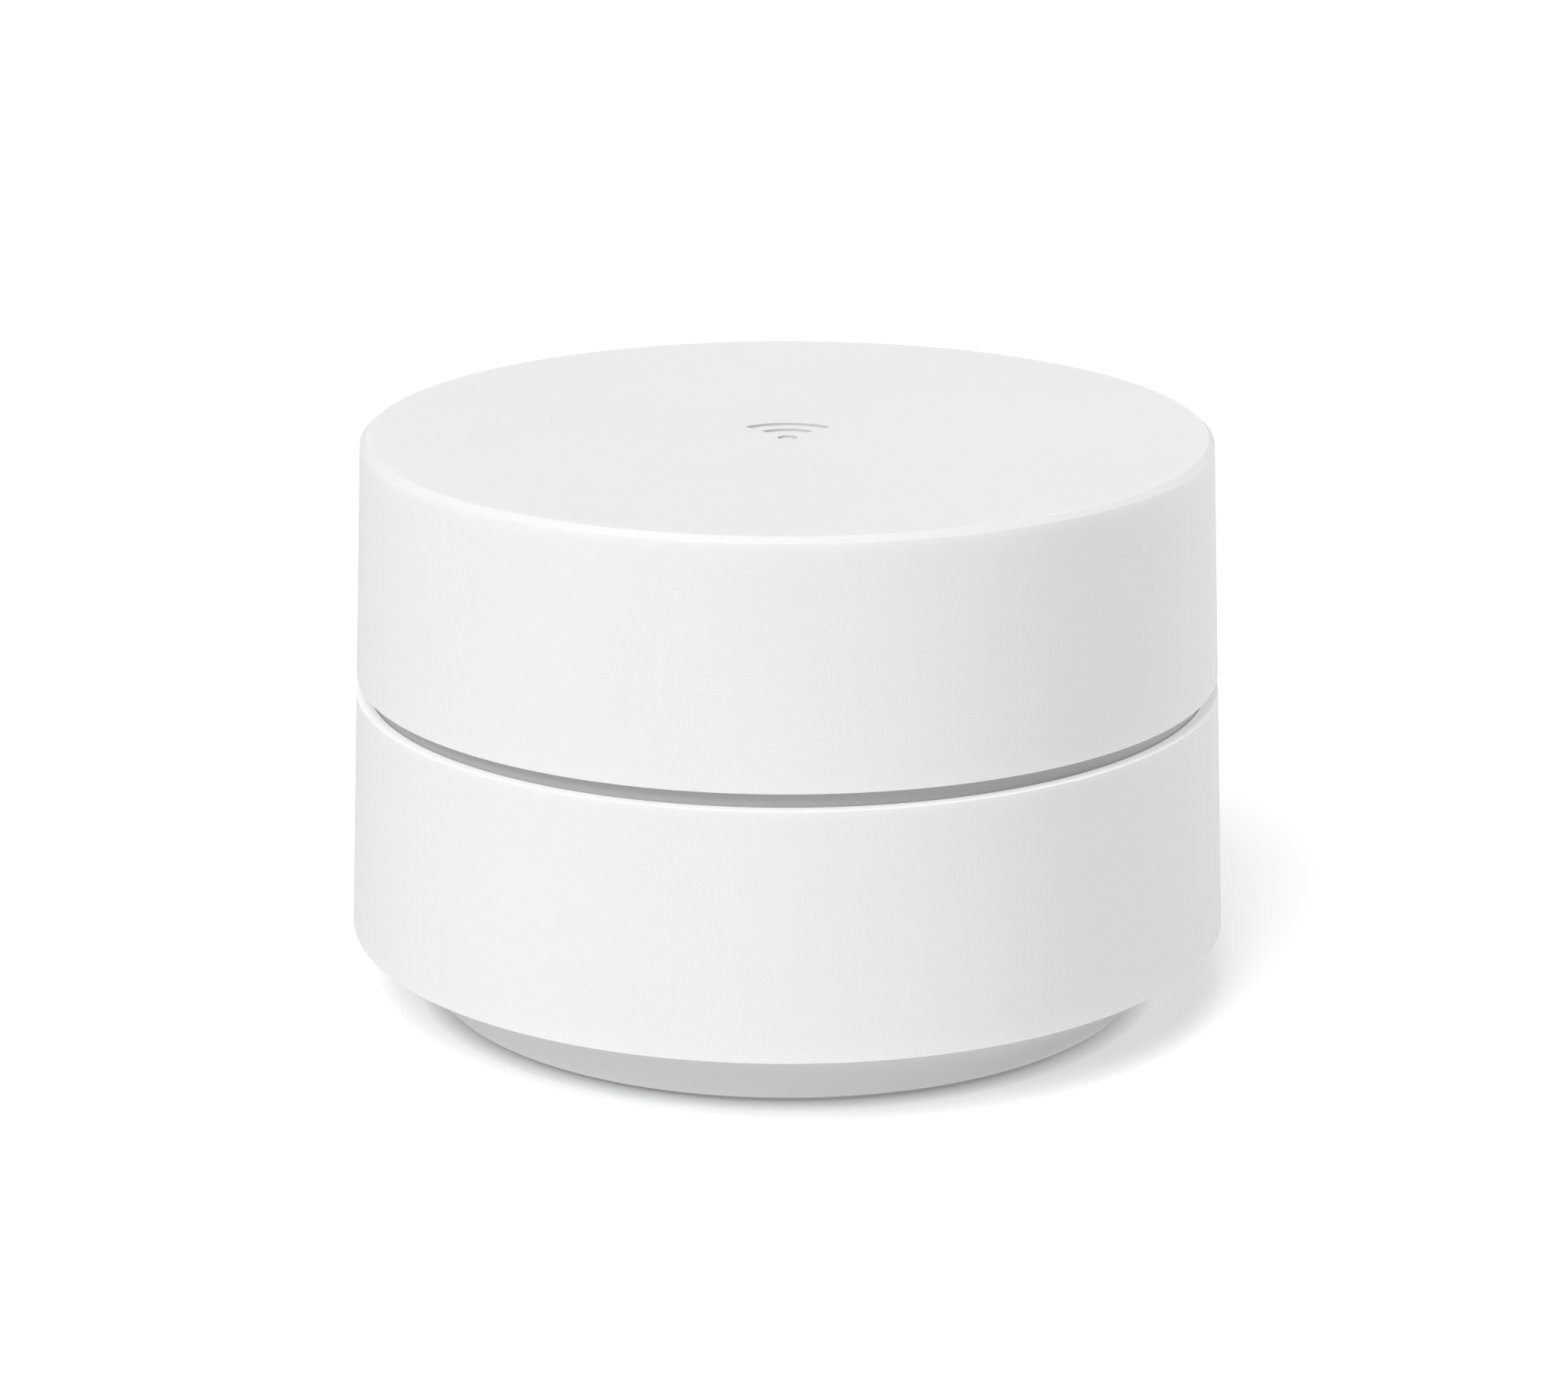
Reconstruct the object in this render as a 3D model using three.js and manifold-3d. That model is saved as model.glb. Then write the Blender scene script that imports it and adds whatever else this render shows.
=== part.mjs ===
// A puck-shaped wireless router, 106 mm across and 69 mm high, as its separate pieces.
// Units are millimetres and +Z is up. The router stands on z = 0, and its cable bay opens towards +Y.
import * as THREE from "three";
import { mergeVertices } from "three/addons/utils/BufferGeometryUtils.js";
import Module from "manifold-3d";

const wasm = await Module();
wasm.setup();

// Driving dimensions of the casing.
const HEIGHT = 68.75;
const FACE_RADIUS = 50.0;
const RIM_RADIUS = 50.73;
const RIM_DROP = 0.65;
const UPPER_EDGE = { radius: 51.83, z: 39.95 };
const LIP = { radius: 51.92, z: 38.0 };
const LOWER_EDGE = { radius: 53.06, z: 8.74 };
const CONE_TOP_RADIUS = 50.8;
const FOOT_EDGE = { radius: 42.98, z: 0.7 };
const WALL = 1.95;
const GAP = 0.3;
const ROUND_SIDES = 72;

// Levels of the inner stack, from the bottom up.
const FLOOR_TOP = 3.0;
const BOARD = { bottom: 16.5, top: 18.1, radius: 44.5 };
const SINK = { bottom: 21.3, top: 23.8, finTop: 33.5, radius: 40 };
const LED_BOARD = { bottom: 34.9, top: 35.9, inner: 45.2, outer: 49.2 };
const DECK = { bottom: 42.3, top: 43.8, inner: 31, outer: 47 };

// The cable bay and its three sockets.
const BAY = { halfWidth: 27, wall: 1.5, roof: 18.9, front: 20.3 };
const SOCKET_FACE = 21.5;
const JACK = { x: 17.5, width: 16, depth: 18, bottom: 3.3, top: 16.4 };
const PORT_Z = 9.23;

// The reset button's line of travel, through the lower shell's rear wall.
const RESET = { z: 25.6, radius: 3.5, face: 52.6, flangeBack: 48.6, stemEnd: 46.75 };

// Screws: three sets, each [x, y] or an angle round the router.
const CASE_SCREWS = [[33.5, 15.6], [-33.5, 15.6], [18.5, -32], [-18.5, -32]];
const FRAME_SCREW_ANGLES = [90, 210, 330];
const FRAME_SCREW_RADIUS = 36;
const ANTENNA_ANGLES = [40, 140, -140, -40];
const LEG_ANGLES = [0, 90, 180, -90];
const LED_ANGLES = [-45, -135, 55, 125];

const radians = (degrees) => (degrees * Math.PI) / 180;

// ---------------------------------------------------------------- shape helpers

// A closed three.js geometry as a manifold-3d solid.
function solid(geometry) {
  const bare = geometry.clone();
  bare.deleteAttribute("normal");
  bare.deleteAttribute("uv");
  const merged = mergeVertices(bare, 1e-4);
  return new wasm.Manifold(
    new wasm.Mesh({
      numProp: 3,
      vertProperties: new Float32Array(merged.attributes.position.array),
      triVerts: new Uint32Array(merged.index.array),
    }),
  );
}

// A manifold-3d solid as a three.js geometry.
function geometryOf(made) {
  const mesh = made.getMesh();
  const geometry = new THREE.BufferGeometry();
  geometry.setAttribute("position", new THREE.BufferAttribute(mesh.vertProperties, 3));
  geometry.setIndex(new THREE.BufferAttribute(mesh.triVerts, 1));
  geometry.computeVertexNormals();
  return geometry;
}

// The first geometry with the others joined on.
function joined(first, ...others) {
  return geometryOf(others.reduce((made, other) => made.add(solid(other)), solid(first)));
}

// The first geometry with the others cut out.
function cut(first, ...others) {
  return geometryOf(others.reduce((made, other) => made.subtract(solid(other)), solid(first)));
}

// What the two geometries share.
function shared(first, second) {
  return geometryOf(solid(first).intersect(solid(second)));
}

// A solid of revolution about +Z. Points are [radius, z], anticlockwise with z up.
function turned(profile, sides = ROUND_SIDES) {
  const points = profile.map(([r, z]) => new THREE.Vector2(r, z));
  return new THREE.LatheGeometry(points, sides).rotateX(Math.PI / 2);
}

// A ring of revolution: the profile closed on itself.
function ring(profile, sides = ROUND_SIDES) {
  return turned([...profile, profile[0]], sides);
}

// A block between two corners.
function block([x0, y0, z0], [x1, y1, z1]) {
  const geometry = new THREE.BoxGeometry(x1 - x0, y1 - y0, z1 - z0);
  return geometry.translate((x0 + x1) / 2, (y0 + y1) / 2, (z0 + z1) / 2);
}

// A block centred on [x, y], between two heights.
function slab(x, y, width, depth, bottom, top) {
  return block([x - width / 2, y - depth / 2, bottom], [x + width / 2, y + depth / 2, top]);
}

// An upright cylinder between two heights.
function post(x, y, radius, bottom, top, sides = 12) {
  const geometry = new THREE.CylinderGeometry(radius, radius, top - bottom, sides);
  return geometry.rotateX(Math.PI / 2).translate(x, y, (bottom + top) / 2);
}

// A cylinder along Y between two depths, centred at height z.
function pin(radius, front, back, z, sides = 24) {
  const geometry = new THREE.CylinderGeometry(radius, radius, back - front, sides);
  return geometry.translate(0, (front + back) / 2, z);
}

// A flat shape thickened upwards from z = bottom.
function plate(shape, bottom, thickness, curveSegments = 8) {
  const options = { depth: thickness, bevelEnabled: false, curveSegments };
  return new THREE.ExtrudeGeometry(shape, options).translate(0, 0, bottom);
}

// A round-ended slot lying in X and Z, centred at height z, between two depths along Y.
function slotAlongY(width, height, front, back, z) {
  const reach = width / 2 - height / 2;
  const shape = new THREE.Shape();
  shape.absarc(reach, 0, height / 2, -Math.PI / 2, Math.PI / 2);
  shape.absarc(-reach, 0, height / 2, Math.PI / 2, (3 * Math.PI) / 2);
  return plate(shape, 0, back - front, 6).rotateX(Math.PI / 2).translate(0, back, z);
}

// The point at an angle and radius round the router.
function polar(degrees, radius) {
  return [radius * Math.cos(radians(degrees)), radius * Math.sin(radians(degrees))];
}

// ---------------------------------------------------------------- casing

// A shallow wireless mark for the lid: a dot with two arcs over it.
function lidMark(bottom, top) {
  const centreY = -3.8;
  const reach = radians(42);
  const band = 0.6;
  const arcs = [3.9, 6.9].map((radius) => {
    const shape = new THREE.Shape();
    shape.absarc(0, centreY, radius + band, Math.PI / 2 - reach, Math.PI / 2 + reach, false);
    shape.absarc(0, centreY, radius - band, Math.PI / 2 + reach, Math.PI / 2 - reach, true);
    return plate(shape, bottom, top - bottom, 10);
  });
  return [post(0, centreY, 1.1, bottom, top), ...arcs];
}

function upperShell() {
  const lidThickness = 2.2;
  const rimZ = HEIGHT - RIM_DROP;
  const insideTop = HEIGHT - lidThickness;
  const cup = turned([
    [0, insideTop],
    [RIM_RADIUS - WALL, insideTop],
    [UPPER_EDGE.radius - WALL, UPPER_EDGE.z],
    [UPPER_EDGE.radius, UPPER_EDGE.z],
    [RIM_RADIUS, rimZ],
    [FACE_RADIUS, HEIGHT],
    [0, HEIGHT],
  ]);
  const lugs = LEG_ANGLES.map((angle) =>
    block([47.6, -4, DECK.top + GAP], [50.2, 4, DECK.top + GAP + 1.6]).rotateZ(radians(angle)),
  );
  const markDepth = 0.3;
  return cut(joined(cup, ...lugs), ...lidMark(HEIGHT - markDepth, HEIGHT + 1));
}

function lowerShell() {
  const rebate = { radius: 50.5, z: 36.8 };
  const insideTop = LIP.radius - WALL;
  const tube = ring([
    [LOWER_EDGE.radius - WALL, LOWER_EDGE.z],
    [LOWER_EDGE.radius, LOWER_EDGE.z],
    [LIP.radius, LIP.z],
    [rebate.radius, LIP.z],
    [rebate.radius, rebate.z],
    [insideTop, rebate.z],
  ]);
  return cut(tube, pin(RESET.radius + GAP, 45, 60, RESET.z));
}

function lightRing() {
  const visibleTop = UPPER_EDGE.z - GAP;
  return ring([
    [47.6, 37.1],
    [50.2, 37.1],
    [50.2, visibleTop],
    [49.4, visibleTop],
    [49.4, 42.0],
    [47.6, 42.0],
  ]);
}

// The rear bay's outline in plan, as a block that reaches past the casing.
function bayBlock(halfWidth, front, bottom, top) {
  return block([-halfWidth, front, bottom], [halfWidth, 60, top]);
}

const RIM_TOP = 11.5;
const CONE_TOP = LOWER_EDGE.z - 0.24;

function baseCover() {
  const skin = 1.7;
  const counterboreTop = 4.2;
  const groove = { inner: 33.7, outer: 42.0, top: 1.6 };
  const labelSeat = { radius: 22.3, y: -8, top: 1.0 };
  const cone = turned([
    [0, FOOT_EDGE.z],
    [FOOT_EDGE.radius, FOOT_EDGE.z],
    [CONE_TOP_RADIUS, CONE_TOP],
    [CONE_TOP_RADIUS, RIM_TOP],
    [CONE_TOP_RADIUS - skin, RIM_TOP],
    [CONE_TOP_RADIUS - skin, CONE_TOP + 0.7],
    [FOOT_EDGE.radius - 0.2, FLOOR_TOP],
    [0, FLOOR_TOP],
  ]);
  const bosses = CASE_SCREWS.map(([x, y]) => post(x, y, 4.2, FLOOR_TOP - 0.5, BOARD.bottom - GAP, 20));
  const bores = CASE_SCREWS.map(([x, y]) => post(x, y, 1.6, 0, 20, 12));
  const counterbores = CASE_SCREWS.map(([x, y]) => post(x, y, 3.1, 0, counterboreTop, 16));
  const grooveRing = ring([
    [groove.inner, 0],
    [groove.outer, 0],
    [groove.outer, groove.top],
    [groove.inner, groove.top],
  ]);
  const seat = post(0, labelSeat.y, labelSeat.radius, 0, labelSeat.top, 36);
  const bay = bayBlock(BAY.halfWidth + BAY.wall + GAP, BAY.front - GAP, -1, 30);
  return cut(joined(cone, ...bosses), ...bores, ...counterbores, grooveRing, seat, bay);
}

// The bay's roof, side walls and socket wall, trimmed to the casing's inner shape.
function portBay() {
  const outerHalf = BAY.halfWidth + BAY.wall;
  const roofTop = BAY.roof + BAY.wall;
  const wallBack = BAY.front + BAY.wall;
  const envelope = turned([
    [0, FOOT_EDGE.z],
    [FOOT_EDGE.radius, FOOT_EDGE.z],
    [CONE_TOP_RADIUS - 0.8, CONE_TOP - 0.8],
    [CONE_TOP_RADIUS - 0.8, roofTop],
    [0, roofTop],
  ]);
  const tunnel = cut(
    shared(bayBlock(outerHalf, BAY.front, 0, roofTop), envelope),
    bayBlock(BAY.halfWidth, wallBack, -1, BAY.roof),
  );
  const jackWindows = [-1, 1].map((side) =>
    slab(side * JACK.x, BAY.front, JACK.width + 2 * GAP, 8, FLOOR_TOP, JACK.top + GAP),
  );
  const usbWindow = slotAlongY(9.6, 3.9, BAY.front - 2, wallBack + 2, PORT_Z);
  return cut(tunnel, ...jackWindows, usbWindow);
}

function rubberFoot() {
  const pad = ring([
    [34.0, 0],
    [41.7, 0],
    [41.7, 1.5],
    [34.0, 1.5],
  ]);
  return cut(pad, bayBlock(30, 18, -1, 3));
}

// ---------------------------------------------------------------- reset button

function resetButton() {
  const flange = { radius: 4.7, front: 49.6 };
  return joined(
    pin(RESET.radius, RESET.flangeBack + 0.4, RESET.face, RESET.z),
    pin(flange.radius, RESET.flangeBack, flange.front, RESET.z),
    pin(1.6, RESET.stemEnd, RESET.flangeBack + 0.2, RESET.z, 12),
  );
}

function resetSwitch() {
  const body = block([-3, 42.1, RESET.z - 3], [3, 45.6, RESET.z + 3]);
  return cut(body, pin(1.8, 43.6, 46, RESET.z, 16));
}

function resetBoard() {
  return block([-9, 40.9, 20.7], [9, 42.1, 33]);
}

// The flex that runs from the reset board over the bay's roof to the main board.
function resetFlex() {
  const thickness = 0.25;
  const [standY, layZ, endZ, dropY, endY] = [40.6, 20.8, 18.4, 18.9, 14.6];
  const path = [
    [standY, 24.5],
    [standY - thickness, 24.5],
    [standY - thickness, layZ + thickness],
    [dropY - thickness, layZ + thickness],
    [dropY - thickness, endZ + thickness],
    [endY, endZ + thickness],
    [endY, endZ],
    [dropY, endZ],
    [dropY, layZ],
    [standY, layZ],
  ];
  const shape = new THREE.Shape(path.map(([y, z]) => new THREE.Vector2(y, z)));
  const width = 6;
  return plate(shape, -width / 2, width).rotateZ(Math.PI / 2).rotateY(Math.PI / 2);
}

// ---------------------------------------------------------------- boards and cooling

function mainBoard() {
  const disc = post(0, 0, BOARD.radius, BOARD.bottom, BOARD.top, ROUND_SIDES);
  const screwHoles = CASE_SCREWS.map(([x, y]) => post(x, y, 1.7, 10, 20, 12));
  const bay = bayBlock(BAY.halfWidth + BAY.wall + GAP + 0.1, BAY.front - 0.4, 10, 20);
  return cut(disc, bay, ...screwHoles);
}

function heatSink() {
  const base = post(0, 0, SINK.radius, SINK.bottom, SINK.top, 48);
  const finThickness = 1.4;
  const fins = [];
  for (let y = -30; y <= 30; y += 5) {
    const half = Math.sqrt((SINK.radius - 1.5) ** 2 - y ** 2);
    fins.push(slab(0, y, 2 * half, finThickness, SINK.top - 0.5, SINK.finTop));
  }
  const seats = CASE_SCREWS.map(([x, y]) => post(x, y, 2.9, BOARD.top + GAP, SINK.bottom + 1, 16));
  const seatBores = CASE_SCREWS.map(([x, y]) => post(x, y, 1.55, 10, 22.9, 12));
  const columnSpots = FRAME_SCREW_ANGLES.map((angle) => polar(angle, FRAME_SCREW_RADIUS));
  const columns = columnSpots.map(([x, y]) => post(x, y, 3.2, SINK.top - 0.5, DECK.bottom - GAP, 16));
  const columnBores = columnSpots.map(([x, y]) => post(x, y, 1.3, 34, 50, 12));
  return cut(joined(base, ...fins, ...seats, ...columns), ...seatBores, ...columnBores);
}

// The stamped plate under the board, in the half that the sockets leave free.
function lowerPlate() {
  const [bottom, top] = [12.0, 13.2];
  const disc = post(0, 0, 41, bottom, top, 48);
  const screwClearances = CASE_SCREWS.map(([x, y]) => post(x, y, 4.6, 10, 15, 16));
  return cut(disc, block([-60, 1, 10], [60, 60, 15]), ...screwClearances);
}

// A five-sided shield can, open towards the board. Its wall is thin sheet metal.
function shieldCan(x, y, width, depth, bottom, top, opensDown = true) {
  const sheet = 0.4;
  const outside = slab(x, y, width, depth, bottom, top);
  const low = opensDown ? bottom - 1 : bottom + sheet;
  const high = opensDown ? top - sheet : top + 1;
  return cut(outside, slab(x, y, width - 2 * sheet, depth - 2 * sheet, low, high));
}

function ledBoard() {
  const { bottom, top, inner, outer } = LED_BOARD;
  return ring([
    [inner, bottom],
    [outer, bottom],
    [outer, top],
    [inner, top],
  ]);
}

// ---------------------------------------------------------------- sockets

// One network jack, its mouth towards +Y and its latch slot underneath.
function networkJack(x) {
  const half = JACK.width / 2;
  const front = SOCKET_FACE - JACK.depth;
  const body = block([x - half, front, JACK.bottom], [x + half, SOCKET_FACE, JACK.top]);
  const mouth = block([x - 5.95, front + 4.5, 7.3], [x + 5.95, 30, 14.5]);
  const latchSlot = block([x - 3.2, front + 4.5, 5.7], [x + 3.2, 30, 8]);
  const latchNose = block([x - 1.9, front + 4.5, 4.6], [x + 1.9, 30, 6]);
  return cut(body, mouth, latchSlot, latchNose);
}

// The comb of eight spring contacts in a jack's mouth.
function jackContacts(x) {
  const pitch = 1.02;
  const [back, tip] = [8.4, 17.5];
  const bar = block([x - 4.6, back, 12.4], [x + 4.6, back + 1.2, 14.2]);
  const fingers = [];
  for (let i = 0; i < 8; i += 1) {
    const centre = x + (i - 3.5) * pitch;
    const side = new THREE.Shape([
      new THREE.Vector2(back + 0.6, 12.5),
      new THREE.Vector2(tip, 13.75),
      new THREE.Vector2(tip, 14.15),
      new THREE.Vector2(back + 0.6, 13.0),
    ]);
    const finger = plate(side, -0.25, 0.5).rotateZ(Math.PI / 2).rotateY(Math.PI / 2);
    fingers.push(finger.translate(centre, 0, 0));
  }
  return joined(bar, ...fingers);
}

function usbShell() {
  const [front, back] = [14.2, SOCKET_FACE];
  const outside = slotAlongY(8.94, 3.26, front, back, PORT_Z);
  return cut(outside, slotAlongY(8.34, 2.56, front + 0.8, back + 2, PORT_Z));
}

function usbTongue() {
  return block([-3.35, 15.3, PORT_Z - 0.35], [3.35, 20.4, PORT_Z + 0.35]);
}

// The moulded block that holds the power socket at the level of the jacks' mouths.
function usbRiser() {
  return block([-4.4, 14.2, PORT_Z + 1.63 + GAP], [4.4, 19.6, BOARD.bottom - 0.1]);
}

// ---------------------------------------------------------------- antennas

const FRAME_WALL = { inner: 44.6, outer: 46.2, top: 64.5 };
const FEED_Z = 47;
const ANTENNA_FACE = 46.8;
const CABLE_RADIUS = 43;

function antennaFrame() {
  const { inner, outer, top } = FRAME_WALL;
  const body = ring([
    [DECK.inner, DECK.bottom],
    [DECK.outer, DECK.bottom],
    [DECK.outer, DECK.top],
    [outer, DECK.top],
    [outer, top],
    [inner, top],
    [inner, DECK.top],
    [DECK.inner, DECK.top],
  ]);
  const pads = ANTENNA_ANGLES.map((angle) =>
    block([45.5, -5, 50], [ANTENNA_FACE - GAP, 5, 61]).rotateZ(radians(angle)),
  );
  const legs = LEG_ANGLES.map((angle) =>
    block([45.4, -3, LED_BOARD.top + GAP], [46.9, 3, DECK.bottom + 0.5]).rotateZ(radians(angle)),
  );
  const windows = ANTENNA_ANGLES.map((angle) =>
    slab(45.4, 0, 6, 3, FEED_Z - 1.5, FEED_Z + 1.5).rotateZ(radians(angle)),
  );
  const cableHoles = ANTENNA_ANGLES.map((angle) =>
    post(CABLE_RADIUS, 0, 1.4, 40, DECK.top + 1, 10).rotateZ(radians(angle)),
  );
  const screwHoles = FRAME_SCREW_ANGLES.map((angle) => {
    const [x, y] = polar(angle, FRAME_SCREW_RADIUS);
    return post(x, y, 1.6, 40, 50, 12);
  });
  return cut(joined(body, ...pads, ...legs), ...windows, ...cableHoles, ...screwHoles);
}

// One antenna board, standing at the radius of its face, with the gap of its radiating arms.
function antennaBoard() {
  const outline = new THREE.Shape([
    new THREE.Vector2(-7, 45),
    new THREE.Vector2(7, 45),
    new THREE.Vector2(7, 63),
    new THREE.Vector2(3.2, 63),
    new THREE.Vector2(3.2, 60.5),
    new THREE.Vector2(-3.2, 60.5),
    new THREE.Vector2(-3.2, 63),
    new THREE.Vector2(-7, 63),
  ]);
  const thickness = 0.8;
  const flat = plate(outline, 0, thickness);
  return flat.rotateX(Math.PI / 2).rotateZ(Math.PI / 2).translate(ANTENNA_FACE, 0, 0);
}

// The thin coax from an antenna's feed point down to its plug on the main board.
function antennaCable() {
  const route = [
    [46.4, FEED_Z],
    [45.2, FEED_Z],
    [43.8, 46.5],
    [43.1, 45.2],
    [CABLE_RADIUS, 42],
    [CABLE_RADIUS, 32],
    [42.7, 25],
    [41.9, 21],
    [41.6, 19.2],
  ];
  const curve = new THREE.CatmullRomCurve3(route.map(([r, z]) => new THREE.Vector3(r, 0, z)));
  const section = new THREE.Shape();
  section.absarc(0, 0, 0.65, 0, 2 * Math.PI);
  const options = { steps: 14, curveSegments: 4, bevelEnabled: false, extrudePath: curve };
  const lead = new THREE.ExtrudeGeometry(section, options);
  return joined(lead, post(41.6, 0, 1.4, BOARD.top + 0.1, 19.7, 12));
}

// ---------------------------------------------------------------- screws

// A pan-head screw with its head at the bottom and its shank going up from z = 0.
function screw(headRadius, headHeight, shankRadius, length) {
  return turned(
    [
      [0, -headHeight],
      [headRadius, -headHeight],
      [headRadius, 0],
      [shankRadius, 0],
      [shankRadius, length],
      [0, length],
    ],
    12,
  );
}

// ---------------------------------------------------------------- finishes and assembly

function finish(color, roughness, metalness = 0) {
  return new THREE.MeshStandardMaterial({ color, roughness, metalness });
}

const whitePlastic = finish(0xf0f0ef, 0.55);
const diffuser = finish(0xa7a7a7, 0.4);
const innerPlastic = finish(0xe4e4e1, 0.6);
const greyRubber = finish(0xb9b9b7, 0.9);
const labelStock = finish(0xe9e9e8, 0.7);
const aluminium = finish(0xb8babd, 0.45, 1);
const tinnedSteel = finish(0xc9cbcc, 0.3, 1);
const boardGreen = finish(0x1f4d33, 0.5);
const blackPlastic = finish(0x17181a, 0.5);
const goldContact = finish(0xd8b25a, 0.3, 1);
const thermalPad = finish(0x8fa3b0, 0.8);
const ledLens = finish(0xf4f1e4, 0.3);
const flexAmber = finish(0xb9772a, 0.4);
const cableGrey = finish(0x2b2b2d, 0.6);

const router = new THREE.Group();

function add(parent, name, geometry, material) {
  const mesh = new THREE.Mesh(geometry, material);
  mesh.name = name;
  parent.add(mesh);
  return mesh;
}

const casing = new THREE.Group();
router.add(casing);
add(casing, "upper_shell", upperShell(), whitePlastic);
add(casing, "light_ring", lightRing(), diffuser);
add(casing, "lower_shell", lowerShell(), whitePlastic);
add(casing, "base_cover", baseCover(), whitePlastic);
add(casing, "port_bay", portBay(), whitePlastic);
add(casing, "rubber_foot", rubberFoot(), greyRubber);
add(casing, "rating_label", post(0, -8, 22, 0.8, 0.95, 36), labelStock);
CASE_SCREWS.forEach(([x, y], i) => {
  const fastener = add(casing, `case_screw_${i + 1}`, screw(2.7, 1.7, 1.25, 18.4), tinnedSteel);
  fastener.position.set(x, y, 4.1);
});

const reset = new THREE.Group();
router.add(reset);
add(reset, "reset_button", resetButton(), whitePlastic);
add(reset, "reset_plunger", pin(1.5, 43.9, 46.4, RESET.z, 16), blackPlastic);
add(reset, "reset_switch", resetSwitch(), tinnedSteel);
add(reset, "reset_board", resetBoard(), boardGreen);
add(reset, "reset_flex", resetFlex(), flexAmber);

const electronics = new THREE.Group();
router.add(electronics);
add(electronics, "main_board", mainBoard(), boardGreen);
add(electronics, "heat_sink", heatSink(), aluminium);
add(electronics, "lower_heat_plate", lowerPlate(), aluminium);

// Parts on the board's upper face: each is [name, x, y, width, depth, height].
const chipSeat = BOARD.top + 0.05;
const upperChips = [
  ["processor_chip", -6, -16, 14, 14, 1.2],
  ["memory_chip", 8.5, -16, 9, 13, 1.0],
  ["radio_chip_left", -27, -4, 7, 7, 0.9],
  ["radio_chip_right", 27, -4, 7, 7, 0.9],
  ["flash_chip", 0, 8, 12, 10, 1.0],
  ["network_transformer_left", -17.5, 11, 12, 9, 2.5],
  ["network_transformer_right", 17.5, 11, 12, 9, 2.5],
];
upperChips.forEach(([name, x, y, width, depth, height]) => {
  add(electronics, name, slab(x, y, width, depth, chipSeat, chipSeat + height), blackPlastic);
});

const upperShields = [
  ["processor", 0, -16, 30, 24],
  ["radio_left", -27, -4, 16, 20],
  ["radio_right", 27, -4, 16, 20],
];
upperShields.forEach(([name, x, y, width, depth]) => {
  const can = shieldCan(x, y, width, depth, BOARD.top + 0.1, 20.5);
  add(electronics, `${name}_shield`, can, tinnedSteel);
  add(electronics, `${name}_thermal_pad`, slab(x, y, width - 6, depth - 6, 20.6, 21.2), thermalPad);
});

const powerShield = shieldCan(0, -20, 22, 16, 14.0, BOARD.bottom - 0.1, false);
add(electronics, "power_shield", powerShield, tinnedSteel);
add(electronics, "power_thermal_pad", slab(0, -20, 18, 12, 13.3, 13.9), thermalPad);
add(electronics, "power_inductor", slab(0, 7, 7, 7, 13.4, BOARD.bottom - 0.1), blackPlastic);

[["wan", -JACK.x], ["lan", JACK.x]].forEach(([name, x]) => {
  add(electronics, `${name}_jack`, networkJack(x), tinnedSteel);
  add(electronics, `${name}_jack_contacts`, jackContacts(x), goldContact);
});
add(electronics, "power_socket", usbShell(), tinnedSteel);
add(electronics, "power_socket_tongue", usbTongue(), blackPlastic);
add(electronics, "power_socket_riser", usbRiser(), blackPlastic);

add(electronics, "led_board", ledBoard(), boardGreen);
LED_ANGLES.forEach((angle, i) => {
  const lens = new THREE.BoxGeometry(2, 3, 0.9);
  const led = add(electronics, `status_led_${i + 1}`, lens, ledLens);
  const [x, y] = polar(angle, 48);
  led.position.set(x, y, LED_BOARD.top + 0.5);
  led.rotation.z = radians(angle);
});

const radio = new THREE.Group();
router.add(radio);
add(radio, "antenna_frame", antennaFrame(), innerPlastic);
ANTENNA_ANGLES.forEach((angle, i) => {
  const station = new THREE.Group();
  station.rotation.z = radians(angle);
  radio.add(station);
  add(station, `antenna_${i + 1}`, antennaBoard(), boardGreen);
  add(station, `antenna_cable_${i + 1}`, antennaCable(), cableGrey);
});
FRAME_SCREW_ANGLES.forEach((angle, i) => {
  const fastener = add(radio, `frame_screw_${i + 1}`, screw(2.6, 1.5, 1.0, 7), tinnedSteel);
  const [x, y] = polar(angle, FRAME_SCREW_RADIUS);
  fastener.position.set(x, y, DECK.top + 0.1);
  fastener.rotation.x = Math.PI;
});

export default router;
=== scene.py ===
import math

import bpy
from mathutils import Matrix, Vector


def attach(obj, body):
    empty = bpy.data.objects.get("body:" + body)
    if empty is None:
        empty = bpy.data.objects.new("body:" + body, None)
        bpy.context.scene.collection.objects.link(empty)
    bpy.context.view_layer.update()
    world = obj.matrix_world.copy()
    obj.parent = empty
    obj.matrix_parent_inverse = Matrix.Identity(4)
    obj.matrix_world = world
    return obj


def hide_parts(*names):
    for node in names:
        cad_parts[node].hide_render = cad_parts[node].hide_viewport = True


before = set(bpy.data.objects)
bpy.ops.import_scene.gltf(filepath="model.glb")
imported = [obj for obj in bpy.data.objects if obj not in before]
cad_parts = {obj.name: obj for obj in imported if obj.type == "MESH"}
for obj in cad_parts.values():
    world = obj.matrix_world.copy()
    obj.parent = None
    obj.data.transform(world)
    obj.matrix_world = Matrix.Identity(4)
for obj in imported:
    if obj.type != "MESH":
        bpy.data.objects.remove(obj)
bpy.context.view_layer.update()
print("frame loaded")

mm = 0.001
mergeDistance = 0.01 * mm


# small helpers for working by hand

def clearSelection():
    bpy.ops.object.select_all(action="DESELECT")


def pick(piece):
    clearSelection()
    piece.select_set(True)
    bpy.context.view_layer.objects.active = piece


def editAll(piece, mode="VERT"):
    # edit mode with everything selected
    pick(piece)
    bpy.ops.object.mode_set(mode="EDIT")
    bpy.ops.mesh.select_mode(type=mode)
    bpy.ops.mesh.select_all(action="SELECT")


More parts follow.
